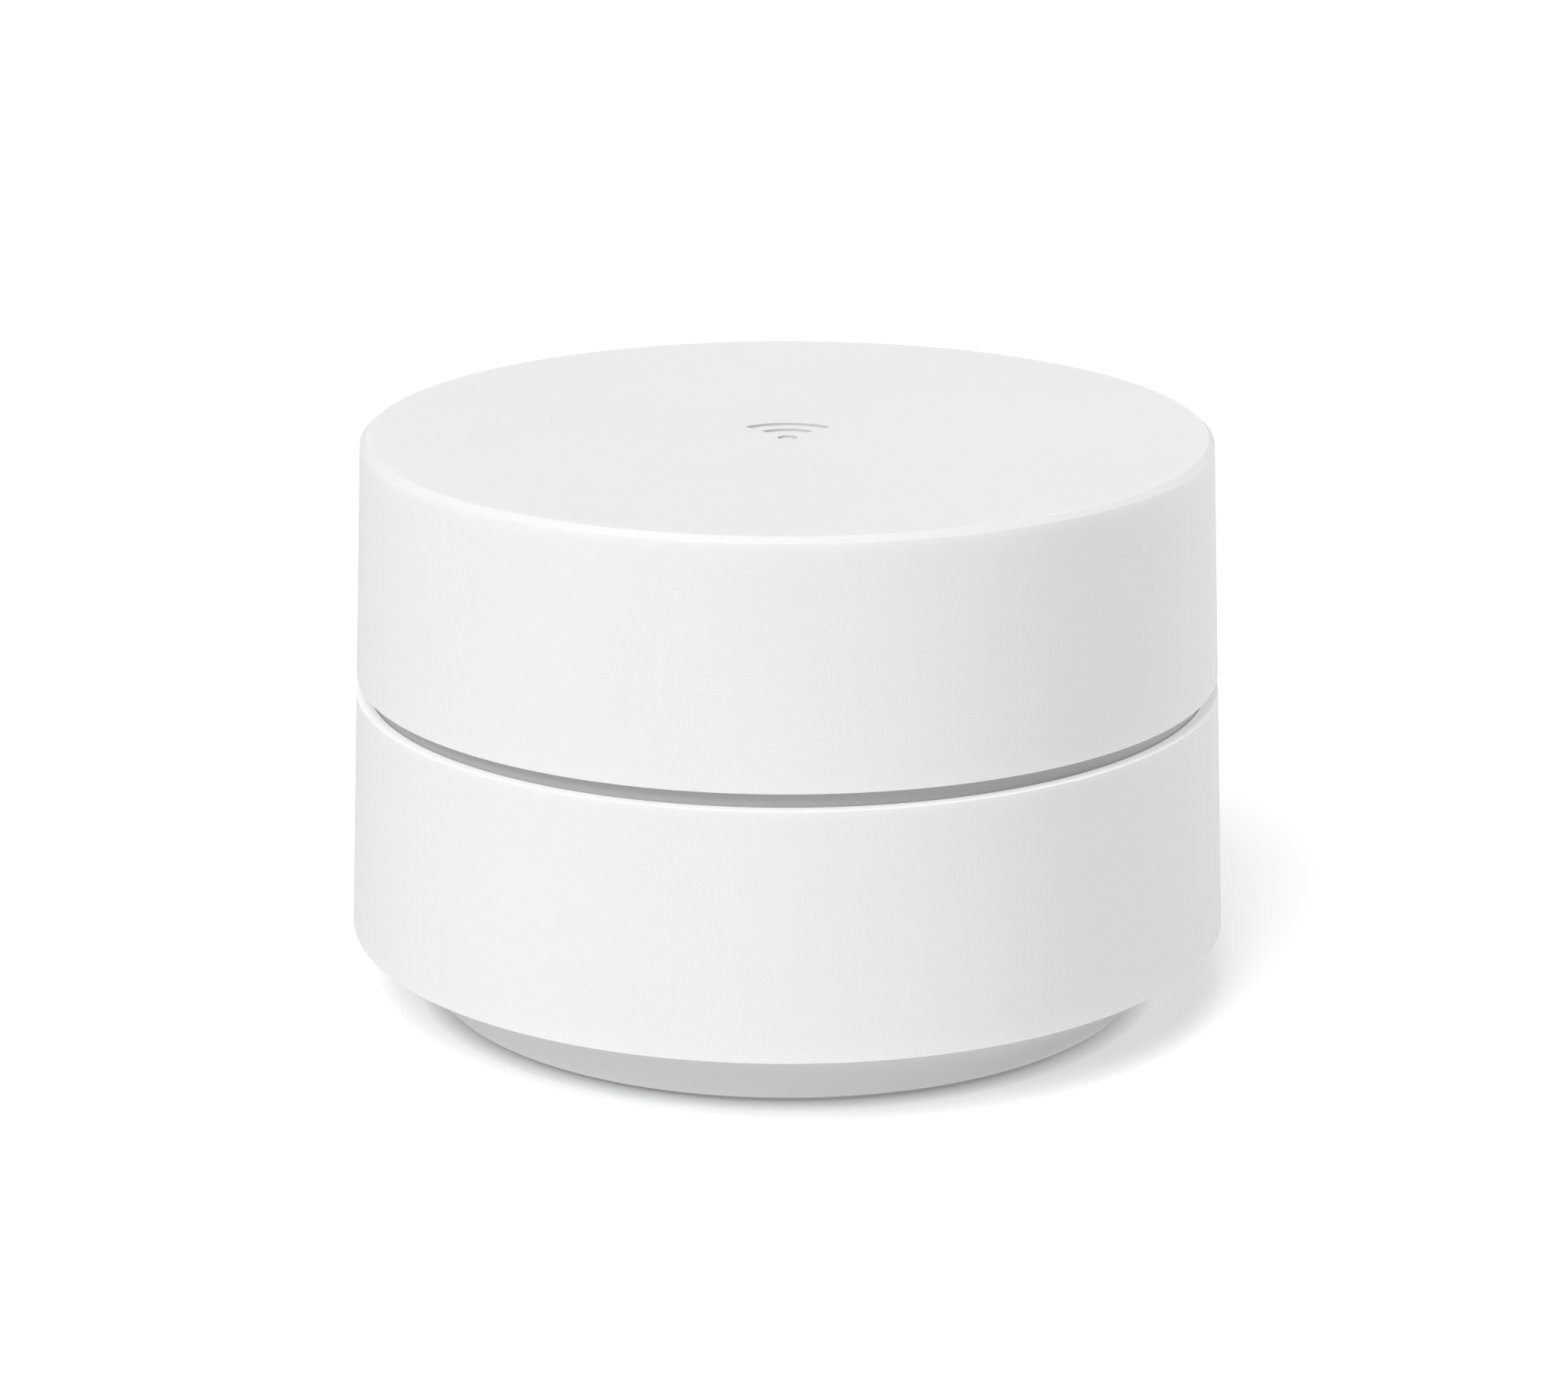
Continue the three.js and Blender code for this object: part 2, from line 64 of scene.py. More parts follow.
def objectMode():
    bpy.ops.object.mode_set(mode="OBJECT")


def editSome(piece, mode, parts, wanted):
    # edit mode with only the faces or edges that the test picks
    editAll(piece, mode)
    bpy.ops.mesh.select_all(action="DESELECT")
    objectMode()
    for part in parts:
        part.select = wanted(part)
    bpy.ops.object.mode_set(mode="EDIT")


def discard(*pieces):
    for piece in pieces:
        bpy.data.objects.remove(piece, do_unlink=True)


def bakePlace(piece):
    pick(piece)
    bpy.ops.object.transform_apply(location=True, rotation=True, scale=True)


def applyModifier(piece, kind, **settings):
    pick(piece)
    modifier = piece.modifiers.new(kind.lower(), kind)
    for key, value in settings.items():
        setattr(modifier, key, value)
    bpy.ops.object.modifier_apply(modifier=modifier.name)


def fixNormals(piece):
    editAll(piece)
    bpy.ops.mesh.remove_doubles(threshold=mergeDistance)
    bpy.ops.mesh.normals_make_consistent(inside=False)
    objectMode()


def combine(piece, others, operation):
    for other in others:
        applyModifier(piece, "BOOLEAN", operation=operation, solver="EXACT", object=other)
        discard(other)


def cutAway(piece, *cutters):
    combine(piece, cutters, "DIFFERENCE")


def weld(piece, *others):
    combine(piece, others, "UNION")


def keepShared(piece, *others):
    combine(piece, others, "INTERSECT")


def softenEdges(piece, width, segments):
    applyModifier(piece, "BEVEL", width=width * mm, segments=segments, limit_method="ANGLE",
                  angle_limit=math.radians(30), use_clamp_overlap=True, miter_outer="MITER_ARC")


def smooth(piece, angle=35):
    pick(piece)
    bpy.ops.object.shade_smooth_by_angle(angle=math.radians(angle))
    applyModifier(piece, "WEIGHTED_NORMAL", keep_sharp=True, weight=60)


def turnRings(name, rings, sides=256, at=(0, 0), closed=True):
    # rings are (radius, height) in mm; a closed set joins its last to its first, an open one is capped
    clearSelection()
    firstRadius, firstHeight = rings[0]
    bpy.ops.mesh.primitive_circle_add(vertices=sides, radius=firstRadius * mm,
                                      fill_type="NOTHING" if closed else "NGON",
                                      location=(at[0] * mm, at[1] * mm, firstHeight * mm))
    piece = bpy.context.active_object
    piece.name = name
    bakePlace(piece)
    editAll(piece, "EDGE" if closed else "FACE")
    radius, height = firstRadius, firstHeight
    for nextRadius, nextHeight in (rings[1:] + rings[:1] if closed else rings[1:]):
        if closed:
            bpy.ops.mesh.extrude_edges_move()
        else:
            bpy.ops.mesh.extrude_region_move()
        centre = (at[0] * mm, at[1] * mm, height * mm)
        grow = nextRadius / radius
        bpy.ops.transform.resize(value=(grow, grow, 1), center_override=centre)
        bpy.ops.transform.translate(value=(0, 0, (nextHeight - height) * mm))
        radius, height = nextRadius, nextHeight
    objectMode()
    fixNormals(piece)
    return piece


def blockBetween(name, low, high, turn=0):
    clearSelection()
    size = [(b - a) * mm for a, b in zip(low, high)]
    centre = [(a + b) / 2 * mm for a, b in zip(low, high)]
    bpy.ops.mesh.primitive_cube_add(size=1, location=centre, scale=size)
    piece = bpy.context.active_object
    piece.name = name
    bakePlace(piece)
    if turn:
        turnAbout(piece, turn)
    return piece


def turnAbout(piece, degrees):
    # turns the mesh itself about the upright axis of the router
    editAll(piece)
    bpy.ops.transform.rotate(value=-math.radians(degrees), orient_axis="Z", center_override=(0, 0, 0))
    objectMode()


def rod(name, radius, low, high, at=(0, 0), sides=48):
    return turnRings(name, [(radius, low), (radius, high)], sides, at, closed=False)


def rodAlongY(name, radius, front, back, at, sides=64):
    # a round bar along Y, at[0] across and at[1] up, in mm
    clearSelection()
    bpy.ops.mesh.primitive_cylinder_add(vertices=sides, radius=radius * mm, depth=(back - front) * mm,
                                        location=(at[0] * mm, (front + back) / 2 * mm, at[1] * mm),
                                        rotation=(math.pi / 2, 0, 0))
    piece = bpy.context.active_object
    piece.name = name
    bakePlace(piece)
    return piece


def addMath(tree, operation, first, second, third=None):
    node = tree.nodes.new("ShaderNodeMath")
    node.operation = operation
    for slot, value in enumerate((first, second, third)):
        if value is None:
            continue
        if isinstance(value, (int, float)):
            node.inputs[slot].default_value = value
        else:
            tree.links.new(value, node.inputs[slot])
    return node.outputs[0]


print("helpers ready")

# camera, light and floor

cameraPlace = {"x": -0.39, "y": -519.7, "z": 192.0, "pitchDown": 16.62, "lens": 102.86}

bpy.ops.object.camera_add(location=[cameraPlace[axis] * mm for axis in "xyz"],
                          rotation=(math.radians(90 - cameraPlace["pitchDown"]), 0, 0))
camera = bpy.context.active_object
camera.name = "mainCamera"
camera.data.sensor_width = 36
camera.data.lens = cameraPlace["lens"]
camera.data.clip_start = 0.01
bpy.context.scene.camera = camera

studio = {
    "sky": 0.42, "below": 0.8,
    "keyStrength": 2.4, "keyFrom": (-29, 50), "keySoftness": 40,
    "fillStrength": 0.95, "fillFrom": (128, 5), "fillSoftness": 12,
    "topStrength": 0.42, "topFrom": (0, 89), "topSoftness": 50,
    "floorSize": 6, "floorDrop": 0.02, "floorTone": 0.78, "floorGlow": 0.32, "contactReach": 2.2,
    "nearGlow": 0.50, "nearReach": 7,
}
bpy.context.scene.view_settings.view_transform = "Standard"


def evenWorld(sky, below):
    # even light all round, a little more from below, and a plain white backdrop for the camera
    world = bpy.data.worlds.new("studioWorld")
    bpy.context.scene.world = world
    world.use_nodes = True
    tree = world.node_tree
    back = tree.nodes["Background"]
    back.inputs["Color"].default_value = (1, 1, 1, 1)
    place = tree.nodes.new("ShaderNodeTexCoord")
    split = tree.nodes.new("ShaderNodeSeparateXYZ")
    tree.links.new(place.outputs["Generated"], split.inputs[0])
    under = addMath(tree, "LESS_THAN", split.outputs["Z"], 0.0)
    even = addMath(tree, "MULTIPLY_ADD", under, below - sky, sky)
    seen = tree.nodes.new("ShaderNodeLightPath").outputs["Is Camera Ray"]
    tree.links.new(addMath(tree, "MAXIMUM", even, seen), back.inputs["Strength"])


evenWorld(studio["sky"], studio["below"])


def softLight(name, strength, azimuth, elevation, softness):
    # a broad, even light from a direction: azimuth 0 is the front, positive to the right
    a, e = math.radians(azimuth), math.radians(elevation)
    towards = Vector((math.sin(a) * math.cos(e), -math.cos(a) * math.cos(e), math.sin(e)))
    bpy.ops.object.light_add(type="SUN", location=towards * 2)
    light = bpy.context.active_object
    light.name = name
    light.data.energy = strength
    light.data.angle = math.radians(softness)
    light.rotation_euler = (-towards).to_track_quat("-Z", "Y").to_euler()


for light in ("key", "fill", "top"):
    softLight(light + "Light", studio[light + "Strength"], *studio[light + "From"],
              studio[light + "Softness"])

clearSelection()
bpy.ops.mesh.primitive_plane_add(size=studio["floorSize"], location=(0, 0, -studio["floorDrop"] * mm))
floor = bpy.context.active_object
floor.name = "paleFloor"
print("camera and lights placed")


# shared shader effects

def newGroup(name, inputs, outputs):
    group = bpy.data.node_groups.new(name, "ShaderNodeTree")
    for label, kind, value in inputs:
        made = group.interface.new_socket(name=label, in_out="INPUT", socket_type=kind)
        if value is not None:
            made.default_value = value
    for label, kind in outputs:
        group.interface.new_socket(name=label, in_out="OUTPUT", socket_type=kind)
    return group, group.nodes.new("NodeGroupInput"), group.nodes.new("NodeGroupOutput")


def addNoise(tree, vector, scale, detail):
    node = tree.nodes.new("ShaderNodeTexNoise")
    node.inputs["Detail"].default_value = detail
    if isinstance(scale, (int, float)):
        node.inputs["Scale"].default_value = scale
    else:
        tree.links.new(scale, node.inputs["Scale"])
    tree.links.new(vector, node.inputs["Vector"])
    return node.outputs[0]


def shadeColor(tree, color, factor):
    # multiplies a colour by a varying factor
    node = tree.nodes.new("ShaderNodeVectorMath")
    node.operation = "SCALE"
    tree.links.new(color, node.inputs[0])
    tree.links.new(factor, node.inputs["Scale"])
    return node.outputs[0]


grain = {
    "slowScale": 38.0, "middleScale": 900.0, "slowShare": 0.3, "fineHeight": 0.7, "middleHeight": 0.3,
}


def makeGrainGroup():
    # moulded plastic or rubber: fine spark grain, faint colour mottling, slow changes in sheen
    group, start, end = newGroup(
        "mouldedGrain",
        [("Vector", "NodeSocketVector", None), ("Color", "NodeSocketColor", (0.8, 0.8, 0.8, 1)),
         ("Grain Scale", "NodeSocketFloat", 4000.0), ("Grain Depth", "NodeSocketFloat", 0.5),
         ("Mottle", "NodeSocketFloat", 0.02), ("Roughness", "NodeSocketFloat", 0.5),
         ("Sheen Change", "NodeSocketFloat", 0.06)],
        [("Color", "NodeSocketColor"), ("Roughness", "NodeSocketFloat"), ("Height", "NodeSocketFloat")])
    fine = addNoise(group, start.outputs["Vector"], start.outputs["Grain Scale"], 3)
    slow = addNoise(group, start.outputs["Vector"], grain["slowScale"], 3)
    middle = addNoise(group, start.outputs["Vector"], grain["middleScale"], 2)
    centred = addMath(group, "SUBTRACT", fine, 0.5)
    swing = addMath(group, "MULTIPLY", centred, start.outputs["Mottle"])
    slowCentred = addMath(group, "MULTIPLY_ADD", slow, grain["slowShare"], -grain["slowShare"] / 2)
    slowSwing = addMath(group, "MULTIPLY", slowCentred, start.outputs["Mottle"])
    factor = addMath(group, "ADD", addMath(group, "ADD", swing, slowSwing), 1.0)
    group.links.new(shadeColor(group, start.outputs["Color"], factor), end.inputs["Color"])
    sheen = addMath(group, "MULTIPLY", addMath(group, "SUBTRACT", slow, 0.5),
                    start.outputs["Sheen Change"])
    group.links.new(addMath(group, "ADD", sheen, start.outputs["Roughness"]), end.inputs["Roughness"])
    mixed = addMath(group, "ADD", addMath(group, "MULTIPLY", fine, grain["fineHeight"]),
                    addMath(group, "MULTIPLY", middle, grain["middleHeight"]))
    height = addMath(group, "MULTIPLY", mixed, start.outputs["Grain Depth"])
    group.links.new(height, end.inputs["Height"])
    return group


brushed = {"stretch": (0.06, 1.0, 1.0), "patchScale": 120.0, "streakTone": 0.12, "streakRough": 0.25}


def makeBrushedGroup():
    # sheet or cast metal: streaks along one axis and a few small stains
    group, start, end = newGroup(
        "brushedMetal",
        [("Vector", "NodeSocketVector", None), ("Color", "NodeSocketColor", (0.7, 0.7, 0.7, 1)),
         ("Streak Scale", "NodeSocketFloat", 1500.0), ("Streak Depth", "NodeSocketFloat", 0.4),
         ("Roughness", "NodeSocketFloat", 0.3), ("Stain", "NodeSocketFloat", 0.08)],
        [("Color", "NodeSocketColor"), ("Roughness", "NodeSocketFloat"), ("Height", "NodeSocketFloat")])
    stretch = group.nodes.new("ShaderNodeVectorMath")
    stretch.operation = "MULTIPLY"
    stretch.inputs[1].default_value = brushed["stretch"]
    group.links.new(start.outputs["Vector"], stretch.inputs[0])
    streak = addNoise(group, stretch.outputs[0], start.outputs["Streak Scale"], 4)
    patch = addNoise(group, start.outputs["Vector"], brushed["patchScale"], 4)
    stain = addMath(group, "MULTIPLY", addMath(group, "SUBTRACT", patch, 0.5), start.outputs["Stain"])
    streakCentred = addMath(group, "SUBTRACT", streak, 0.5)
    streakSwing = addMath(group, "MULTIPLY", streakCentred, brushed["streakTone"])
    factor = addMath(group, "ADD", addMath(group, "ADD", stain, streakSwing), 1.0)
    group.links.new(shadeColor(group, start.outputs["Color"], factor), end.inputs["Color"])
    roughSwing = addMath(group, "MULTIPLY", streakCentred, brushed["streakRough"])
    rough = addMath(group, "ADD", addMath(group, "ADD", roughSwing, stain), start.outputs["Roughness"])
    group.links.new(rough, end.inputs["Roughness"])
    height = addMath(group, "MULTIPLY", streak, start.outputs["Streak Depth"])
    group.links.new(height, end.inputs["Height"])
    return group


traces = {
    "offset": 0.37, "squash": 1.6, "squashEvery": 3,
    "tracks": {"Mortar Size": 0.06, "Mortar Smooth": 0.1, "Brick Width": 1.7, "Row Height": 0.36},
    "viaScale": 520.0, "viaSpread": 0.7, "viaRadius": 0.14, "pourScale": 95.0, "pourEdge": 0.53,
    "sheen": -0.08, "thickness": 0.6,
}


def makeTraceGroup():
    # solder mask over copper: tracks in two directions, via dots and areas of poured copper
    group, start, end = newGroup(
        "circuitTraces",
        [("Vector", "NodeSocketVector", None), ("Mask Color", "NodeSocketColor", (0.02, 0.12, 0.05, 1)),
         ("Copper Color", "NodeSocketColor", (0.05, 0.22, 0.09, 1)),
         ("Track Scale", "NodeSocketFloat", 420.0), ("Roughness", "NodeSocketFloat", 0.35)],
        [("Color", "NodeSocketColor"), ("Roughness", "NodeSocketFloat"), ("Height", "NodeSocketFloat")])
    bricks = group.nodes.new("ShaderNodeTexBrick")
    bricks.offset = traces["offset"]
    bricks.squash = traces["squash"]
    bricks.squash_frequency = traces["squashEvery"]
    for label, value in traces["tracks"].items():
        bricks.inputs[label].default_value = value
    group.links.new(start.outputs["Vector"], bricks.inputs["Vector"])
    group.links.new(start.outputs["Track Scale"], bricks.inputs["Scale"])
    dots = group.nodes.new("ShaderNodeTexVoronoi")
    dots.inputs["Randomness"].default_value = traces["viaSpread"]
    dots.inputs["Scale"].default_value = traces["viaScale"]
    group.links.new(start.outputs["Vector"], dots.inputs["Vector"])
    via = addMath(group, "LESS_THAN", dots.outputs["Distance"], traces["viaRadius"])
    cloud = addNoise(group, start.outputs["Vector"], traces["pourScale"], 1)
    pour = addMath(group, "GREATER_THAN", cloud, traces["pourEdge"])
    copper = addMath(group, "MAXIMUM", addMath(group, "MAXIMUM", bricks.outputs["Fac"], via), pour)
    blend = group.nodes.new("ShaderNodeMix")
    blend.data_type = "RGBA"
    group.links.new(copper, blend.inputs["Factor"])
    group.links.new(start.outputs["Mask Color"], blend.inputs["A"])
    group.links.new(start.outputs["Copper Color"], blend.inputs["B"])
    group.links.new(blend.outputs["Result"], end.inputs["Color"])
    lift = addMath(group, "MULTIPLY", addMath(group, "SUBTRACT", copper, 0.5), traces["sheen"])
    group.links.new(addMath(group, "ADD", lift, start.outputs["Roughness"]), end.inputs["Roughness"])
    group.links.new(addMath(group, "MULTIPLY", copper, traces["thickness"]), end.inputs["Height"])
    return group


grainGroup = makeGrainGroup()
brushedGroup = makeBrushedGroup()
traceGroup = makeTraceGroup()


def makeMaterial(name, group, values, metallic=0.0, bumpDistance=0.02, **sockets):
    # one group for colour, roughness and bump; every even value goes on the shader's own socket
    material = bpy.data.materials.new(name)
    material.use_nodes = True
    tree = material.node_tree
    shader = tree.nodes["Principled BSDF"]
    shader.inputs["Metallic"].default_value = metallic
    for label, value in sockets.items():
        shader.inputs[label.replace("_", " ")].default_value = value
    place = tree.nodes.new("ShaderNodeTexCoord")
    effect = tree.nodes.new("ShaderNodeGroup")
    effect.node_tree = group
    tree.links.new(place.outputs["Object"], effect.inputs["Vector"])
    for label, value in values.items():
        effect.inputs[label].default_value = value
    tree.links.new(effect.outputs["Color"], shader.inputs["Base Color"])
    tree.links.new(effect.outputs["Roughness"], shader.inputs["Roughness"])
    bump = tree.nodes.new("ShaderNodeBump")
    bump.inputs["Strength"].default_value = 0.5
    bump.inputs["Distance"].default_value = bumpDistance * mm
    tree.links.new(effect.outputs["Height"], bump.inputs["Height"])
    tree.links.new(bump.outputs["Normal"], shader.inputs["Normal"])
    return material


def grey(tone):
    return (tone, tone, tone, 1)


shellGrain = {"Grain Scale": 5200.0, "Grain Depth": 1.0, "Mottle": 0.13, "Roughness": 0.56,
              "Sheen Change": 0.05}
shellWhite = makeMaterial("shellWhite", grainGroup, {**shellGrain, "Color": grey(0.76)},
                          bumpDistance=0.03, Subsurface_Weight=0.4, Subsurface_Radius=(1, 1, 1),
                          Subsurface_Scale=0.003)
# painted shade: a darker copy of the shell white that dims the brightly lit chamfer
chamferPaintedShade = makeMaterial("chamferPaintedShade", grainGroup, {**shellGrain, "Color": grey(0.72)},
                         bumpDistance=0.03)
# painted light: the lip's finish glows white, though the lip is no lamp
lipPaintedGlow = makeMaterial("lipPaintedGlow", grainGroup, {**shellGrain, "Color": grey(0.59), "Mottle": 0.1},
                        Emission_Color=(1, 1, 1, 1), Emission_Strength=0.34)
# painted shade: a darker copy of the shell white on the mark's walls draws the mark as thin grey lines
markWallPaintedShade = makeMaterial("markWallPaintedShade", grainGroup,
                        {**shellGrain, "Color": grey(0.50), "Grain Depth": 0.5, "Mottle": 0.05,
                         "Roughness": 0.6})
# painted shade: the base is the shell's white plastic, made darker so the downward-facing base reads grey
basePaintedShade = makeMaterial("basePaintedShade", grainGroup,
                         {**shellGrain, "Color": grey(0.70), "Mottle": 0.05, "Roughness": 0.58})
ringGrey = makeMaterial("ringGrey", grainGroup,
                        {"Color": grey(0.46), "Grain Scale": 3000.0, "Grain Depth": 0.6, "Mottle": 0.02,
                         "Roughness": 0.42, "Sheen Change": 0.04})
rubberGrey = makeMaterial("rubberGrey", grainGroup,
                          {"Color": (0.46, 0.46, 0.455, 1), "Grain Scale": 2600.0, "Grain Depth": 1.0,
                           "Mottle": 0.06, "Roughness": 0.86, "Sheen Change": 0.08}, bumpDistance=0.05)
innerWhite = makeMaterial("innerWhite", grainGroup,
                          {"Color": (0.68, 0.68, 0.66, 1), "Grain Scale": 3600.0, "Grain Depth": 0.6,
                           "Mottle": 0.04, "Roughness": 0.5, "Sheen Change": 0.08})
blackMoulding = makeMaterial("blackMoulding", grainGroup,
                             {"Color": (0.018, 0.018, 0.02, 1), "Grain Scale": 6000.0,
                              "Grain Depth": 1.0, "Mottle": 0.35, "Roughness": 0.46, "Sheen Change": 0.1})
labelFilm = makeMaterial("labelFilm", grainGroup,
                         {"Color": grey(0.7), "Grain Scale": 1800.0, "Grain Depth": 0.3,
                          "Mottle": 0.02, "Roughness": 0.34, "Sheen Change": 0.1})
gapFiller = makeMaterial("gapFiller", grainGroup,
                         {"Color": (0.25, 0.34, 0.40, 1), "Grain Scale": 2400.0, "Grain Depth": 1.0,
                          "Mottle": 0.25, "Roughness": 0.82, "Sheen Change": 0.1}, bumpDistance=0.08)
amberFilm = makeMaterial("amberFilm", grainGroup,
                         {"Color": (0.46, 0.19, 0.03, 1), "Grain Scale": 1200.0, "Grain Depth": 0.4,
                          "Mottle": 0.12, "Roughness": 0.3, "Sheen Change": 0.1})
coaxJacket = makeMaterial("coaxJacket", grainGroup,
                          {"Color": (0.03, 0.03, 0.032, 1), "Grain Scale": 5000.0, "Grain Depth": 0.5,
                           "Mottle": 0.2, "Roughness": 0.4, "Sheen Change": 0.08})
ledResin = makeMaterial("ledResin", grainGroup,
                        {"Color": (0.85, 0.72, 0.30, 1), "Grain Scale": 7000.0, "Grain Depth": 0.2,
                         "Mottle": 0.1, "Roughness": 0.25, "Sheen Change": 0.05}, Coat_Weight=0.5)
castAluminium = makeMaterial("castAluminium", brushedGroup,
                             {"Color": (0.66, 0.67, 0.68, 1), "Streak Scale": 900.0,
                              "Streak Depth": 0.6, "Roughness": 0.42, "Stain": 0.12}, metallic=1.0)
tinnedSteel = makeMaterial("tinnedSteel", brushedGroup,
                           {"Color": (0.74, 0.75, 0.75, 1), "Streak Scale": 2200.0, "Streak Depth": 0.3,
                            "Roughness": 0.27, "Stain": 0.08}, metallic=1.0)
zincScrew = makeMaterial("zincScrew", brushedGroup,
                         {"Color": (0.62, 0.63, 0.64, 1), "Streak Scale": 5000.0, "Streak Depth": 0.5,
                          "Roughness": 0.34, "Stain": 0.15}, metallic=1.0)
goldPlate = makeMaterial("goldPlate", brushedGroup,
                         {"Color": (0.86, 0.62, 0.24, 1), "Streak Scale": 4000.0, "Streak Depth": 0.3,
                          "Roughness": 0.22, "Stain": 0.1}, metallic=1.0)
greenBoard = makeMaterial("greenBoard", traceGroup,
                          {"Mask Color": (0.012, 0.085, 0.04, 1), "Copper Color": (0.03, 0.17, 0.07, 1),
                           "Track Scale": 420.0, "Roughness": 0.34}, bumpDistance=0.03)


def paint(piece, material, nodes, body="housing"):
    piece.data.materials.clear()
    piece.data.materials.append(material)
    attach(piece, body)
    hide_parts(*nodes)


floorMaterial = makeMaterial("floorPaper", grainGroup,
                             {"Color": grey(studio["floorTone"]), "Grain Scale": 900.0,
                              "Grain Depth": 0.2, "Mottle": 0.004, "Roughness": 0.9,
                              "Sheen Change": 0.02},
                             Emission_Color=(1, 1, 1, 1))


def finishFloor(material):
    # the floor shows only from above, so the underside can be looked at and lit
    tree = material.node_tree
    shader = tree.nodes["Principled BSDF"]
    geometry = tree.nodes.new("ShaderNodeNewGeometry")
    path = tree.nodes.new("ShaderNodeLightPath")
    clear = tree.nodes.new("ShaderNodeBsdfTransparent")
    mix = tree.nodes.new("ShaderNodeMixShader")
    passed = addMath(tree, "GREATER_THAN", path.outputs["Transparent Depth"], 0.5)
    # the paper glows brighter to the camera than it reflects, and its painted glow lights what stands
    # close to it
    # the camera glow fades where things stand close: a painted contact shadow
    contact = tree.nodes.new("ShaderNodeAmbientOcclusion")
    contact.samples = 6
    contact.inputs["Distance"].default_value = studio["contactReach"] * mm
    openness = addMath(tree, "MULTIPLY", contact.outputs["AO"], studio["floorGlow"])
    glow = addMath(tree, "MULTIPLY", path.outputs["Is Camera Ray"], openness)
    fade = -1 / (studio["nearReach"] * mm)
    close = addMath(tree, "MULTIPLY_ADD", path.outputs["Ray Length"], fade, 1.0)
    lift = addMath(tree, "MULTIPLY", addMath(tree, "MAXIMUM", close, 0.0), studio["nearGlow"])
    material.cycles.emission_sampling = "NONE"
    tree.links.new(addMath(tree, "ADD", glow, lift), shader.inputs["Emission Strength"])
    tree.links.new(addMath(tree, "MAXIMUM", geometry.outputs["Backfacing"], passed), mix.inputs["Fac"])
    tree.links.new(shader.outputs["BSDF"], mix.inputs[1])
    tree.links.new(clear.outputs["BSDF"], mix.inputs[2])
    tree.links.new(mix.outputs["Shader"], tree.nodes["Material Output"].inputs["Surface"])


finishFloor(floorMaterial)
floor.data.materials.append(floorMaterial)
print("materials ready")

# upper shell with its lid mark

upper = {
    "wall": [(48.78, 66.55), (49.88, 39.95), (51.83, 39.95), (50.73, 68.10), (50.0, 68.75)],
    "edgeRadius": 0.12,
    "lugAngles": (0, 90, 180, -90),
    "markCentreY": -3.8, "markArcs": (3.9, 6.9), "markBand": 0.6, "markReach": 42, "markDepth": 0.3,
    "markDot": 1.1,
    "lug": {"inside": 47.6, "outside": 50.2, "half": 4, "low": 42.6, "high": 44.2},
}


def markArc(radius, band, centreY, reach, low, high):
    # a small block is laid at one end of the arc and spun round to the other
    clearSelection()
    bpy.ops.mesh.primitive_plane_add(size=1, location=(radius * mm, 0, (low + high) / 2 * mm),
                                     rotation=(math.pi / 2, 0, 0))
    arc = bpy.context.active_object
    arc.name = "markArc"
    arc.scale = (2 * band * mm, (high - low) * mm, 1)
    bakePlace(arc)
    editAll(arc)
    bpy.ops.mesh.spin(steps=40, angle=math.radians(2 * reach), center=(0, 0, 0), axis=(0, 0, 1))
    objectMode()
    fixNormals(arc)
    # the swept arc is centred on +Y whichever way the spin went
    middle = sum((v.co for v in arc.data.vertices), Vector()) / len(arc.data.vertices)
    turnAbout(arc, 90 - math.degrees(math.atan2(middle.y, middle.x)))
    editAll(arc)
    bpy.ops.transform.translate(value=(0, centreY * mm, 0))
    objectMode()
    return arc


upperShell = turnRings("upperShell", upper["wall"], closed=False)
for angle in upper["lugAngles"]:
    lug = upper["lug"]
    weld(upperShell, blockBetween("lug", (lug["inside"], -lug["half"], lug["low"]),
                                  (lug["outside"], lug["half"], lug["high"]), angle))
lidHeight = upper["wall"][-1][1]
markLow, markHigh = lidHeight - upper["markDepth"], lidHeight + 1.25
for radius in upper["markArcs"]:
    cutAway(upperShell, markArc(radius, upper["markBand"], upper["markCentreY"], upper["markReach"],
                                markLow, markHigh))
cutAway(upperShell, rod("markDot", upper["markDot"], markLow, markHigh, (0, upper["markCentreY"])))
softenEdges(upperShell, upper["edgeRadius"], 3)
smooth(upperShell)
paint(upperShell, shellWhite, nodes=["upper_shell"])


def paintWhere(piece, material, wanted):
    # a second finish on the faces that the test picks, given centre and normal in mm
    piece.data.materials.append(material)
    editSome(piece, "FACE", piece.data.polygons, lambda face: wanted(face.center / mm, face.normal))
    piece.active_material_index = len(piece.data.materials) - 1
    bpy.ops.object.material_slot_assign()
    objectMode()


def onChamfer(centre, normal):
    return centre.xy.length > 49.9 and 0.35 < normal.z < 0.93


def onMarkWall(centre, normal):
    return centre.xy.length < 12 and centre.z > 68.2 and normal.z < 0.97


# the chamfer takes the darker copy, painted shade on its lit band
paintWhere(upperShell, chamferPaintedShade, onChamfer)
# the mark's walls take the darker copy, painted shade in the recess
paintWhere(upperShell, markWallPaintedShade, onMarkWall)
print("upper shell done")

# light ring

ring = {
    "wall": [(47.6, 37.1), (50.34, 37.1), (50.34, 39.65), (49.4, 39.65), (49.4, 42.0), (47.6, 42.0)],
    "edgeRadius": 0.1,
}
lightRing = turnRings("lightRing", ring["wall"])
softenEdges(lightRing, ring["edgeRadius"], 2)
smooth(lightRing)
paint(lightRing, ringGrey, nodes=["light_ring"])

# lower shell

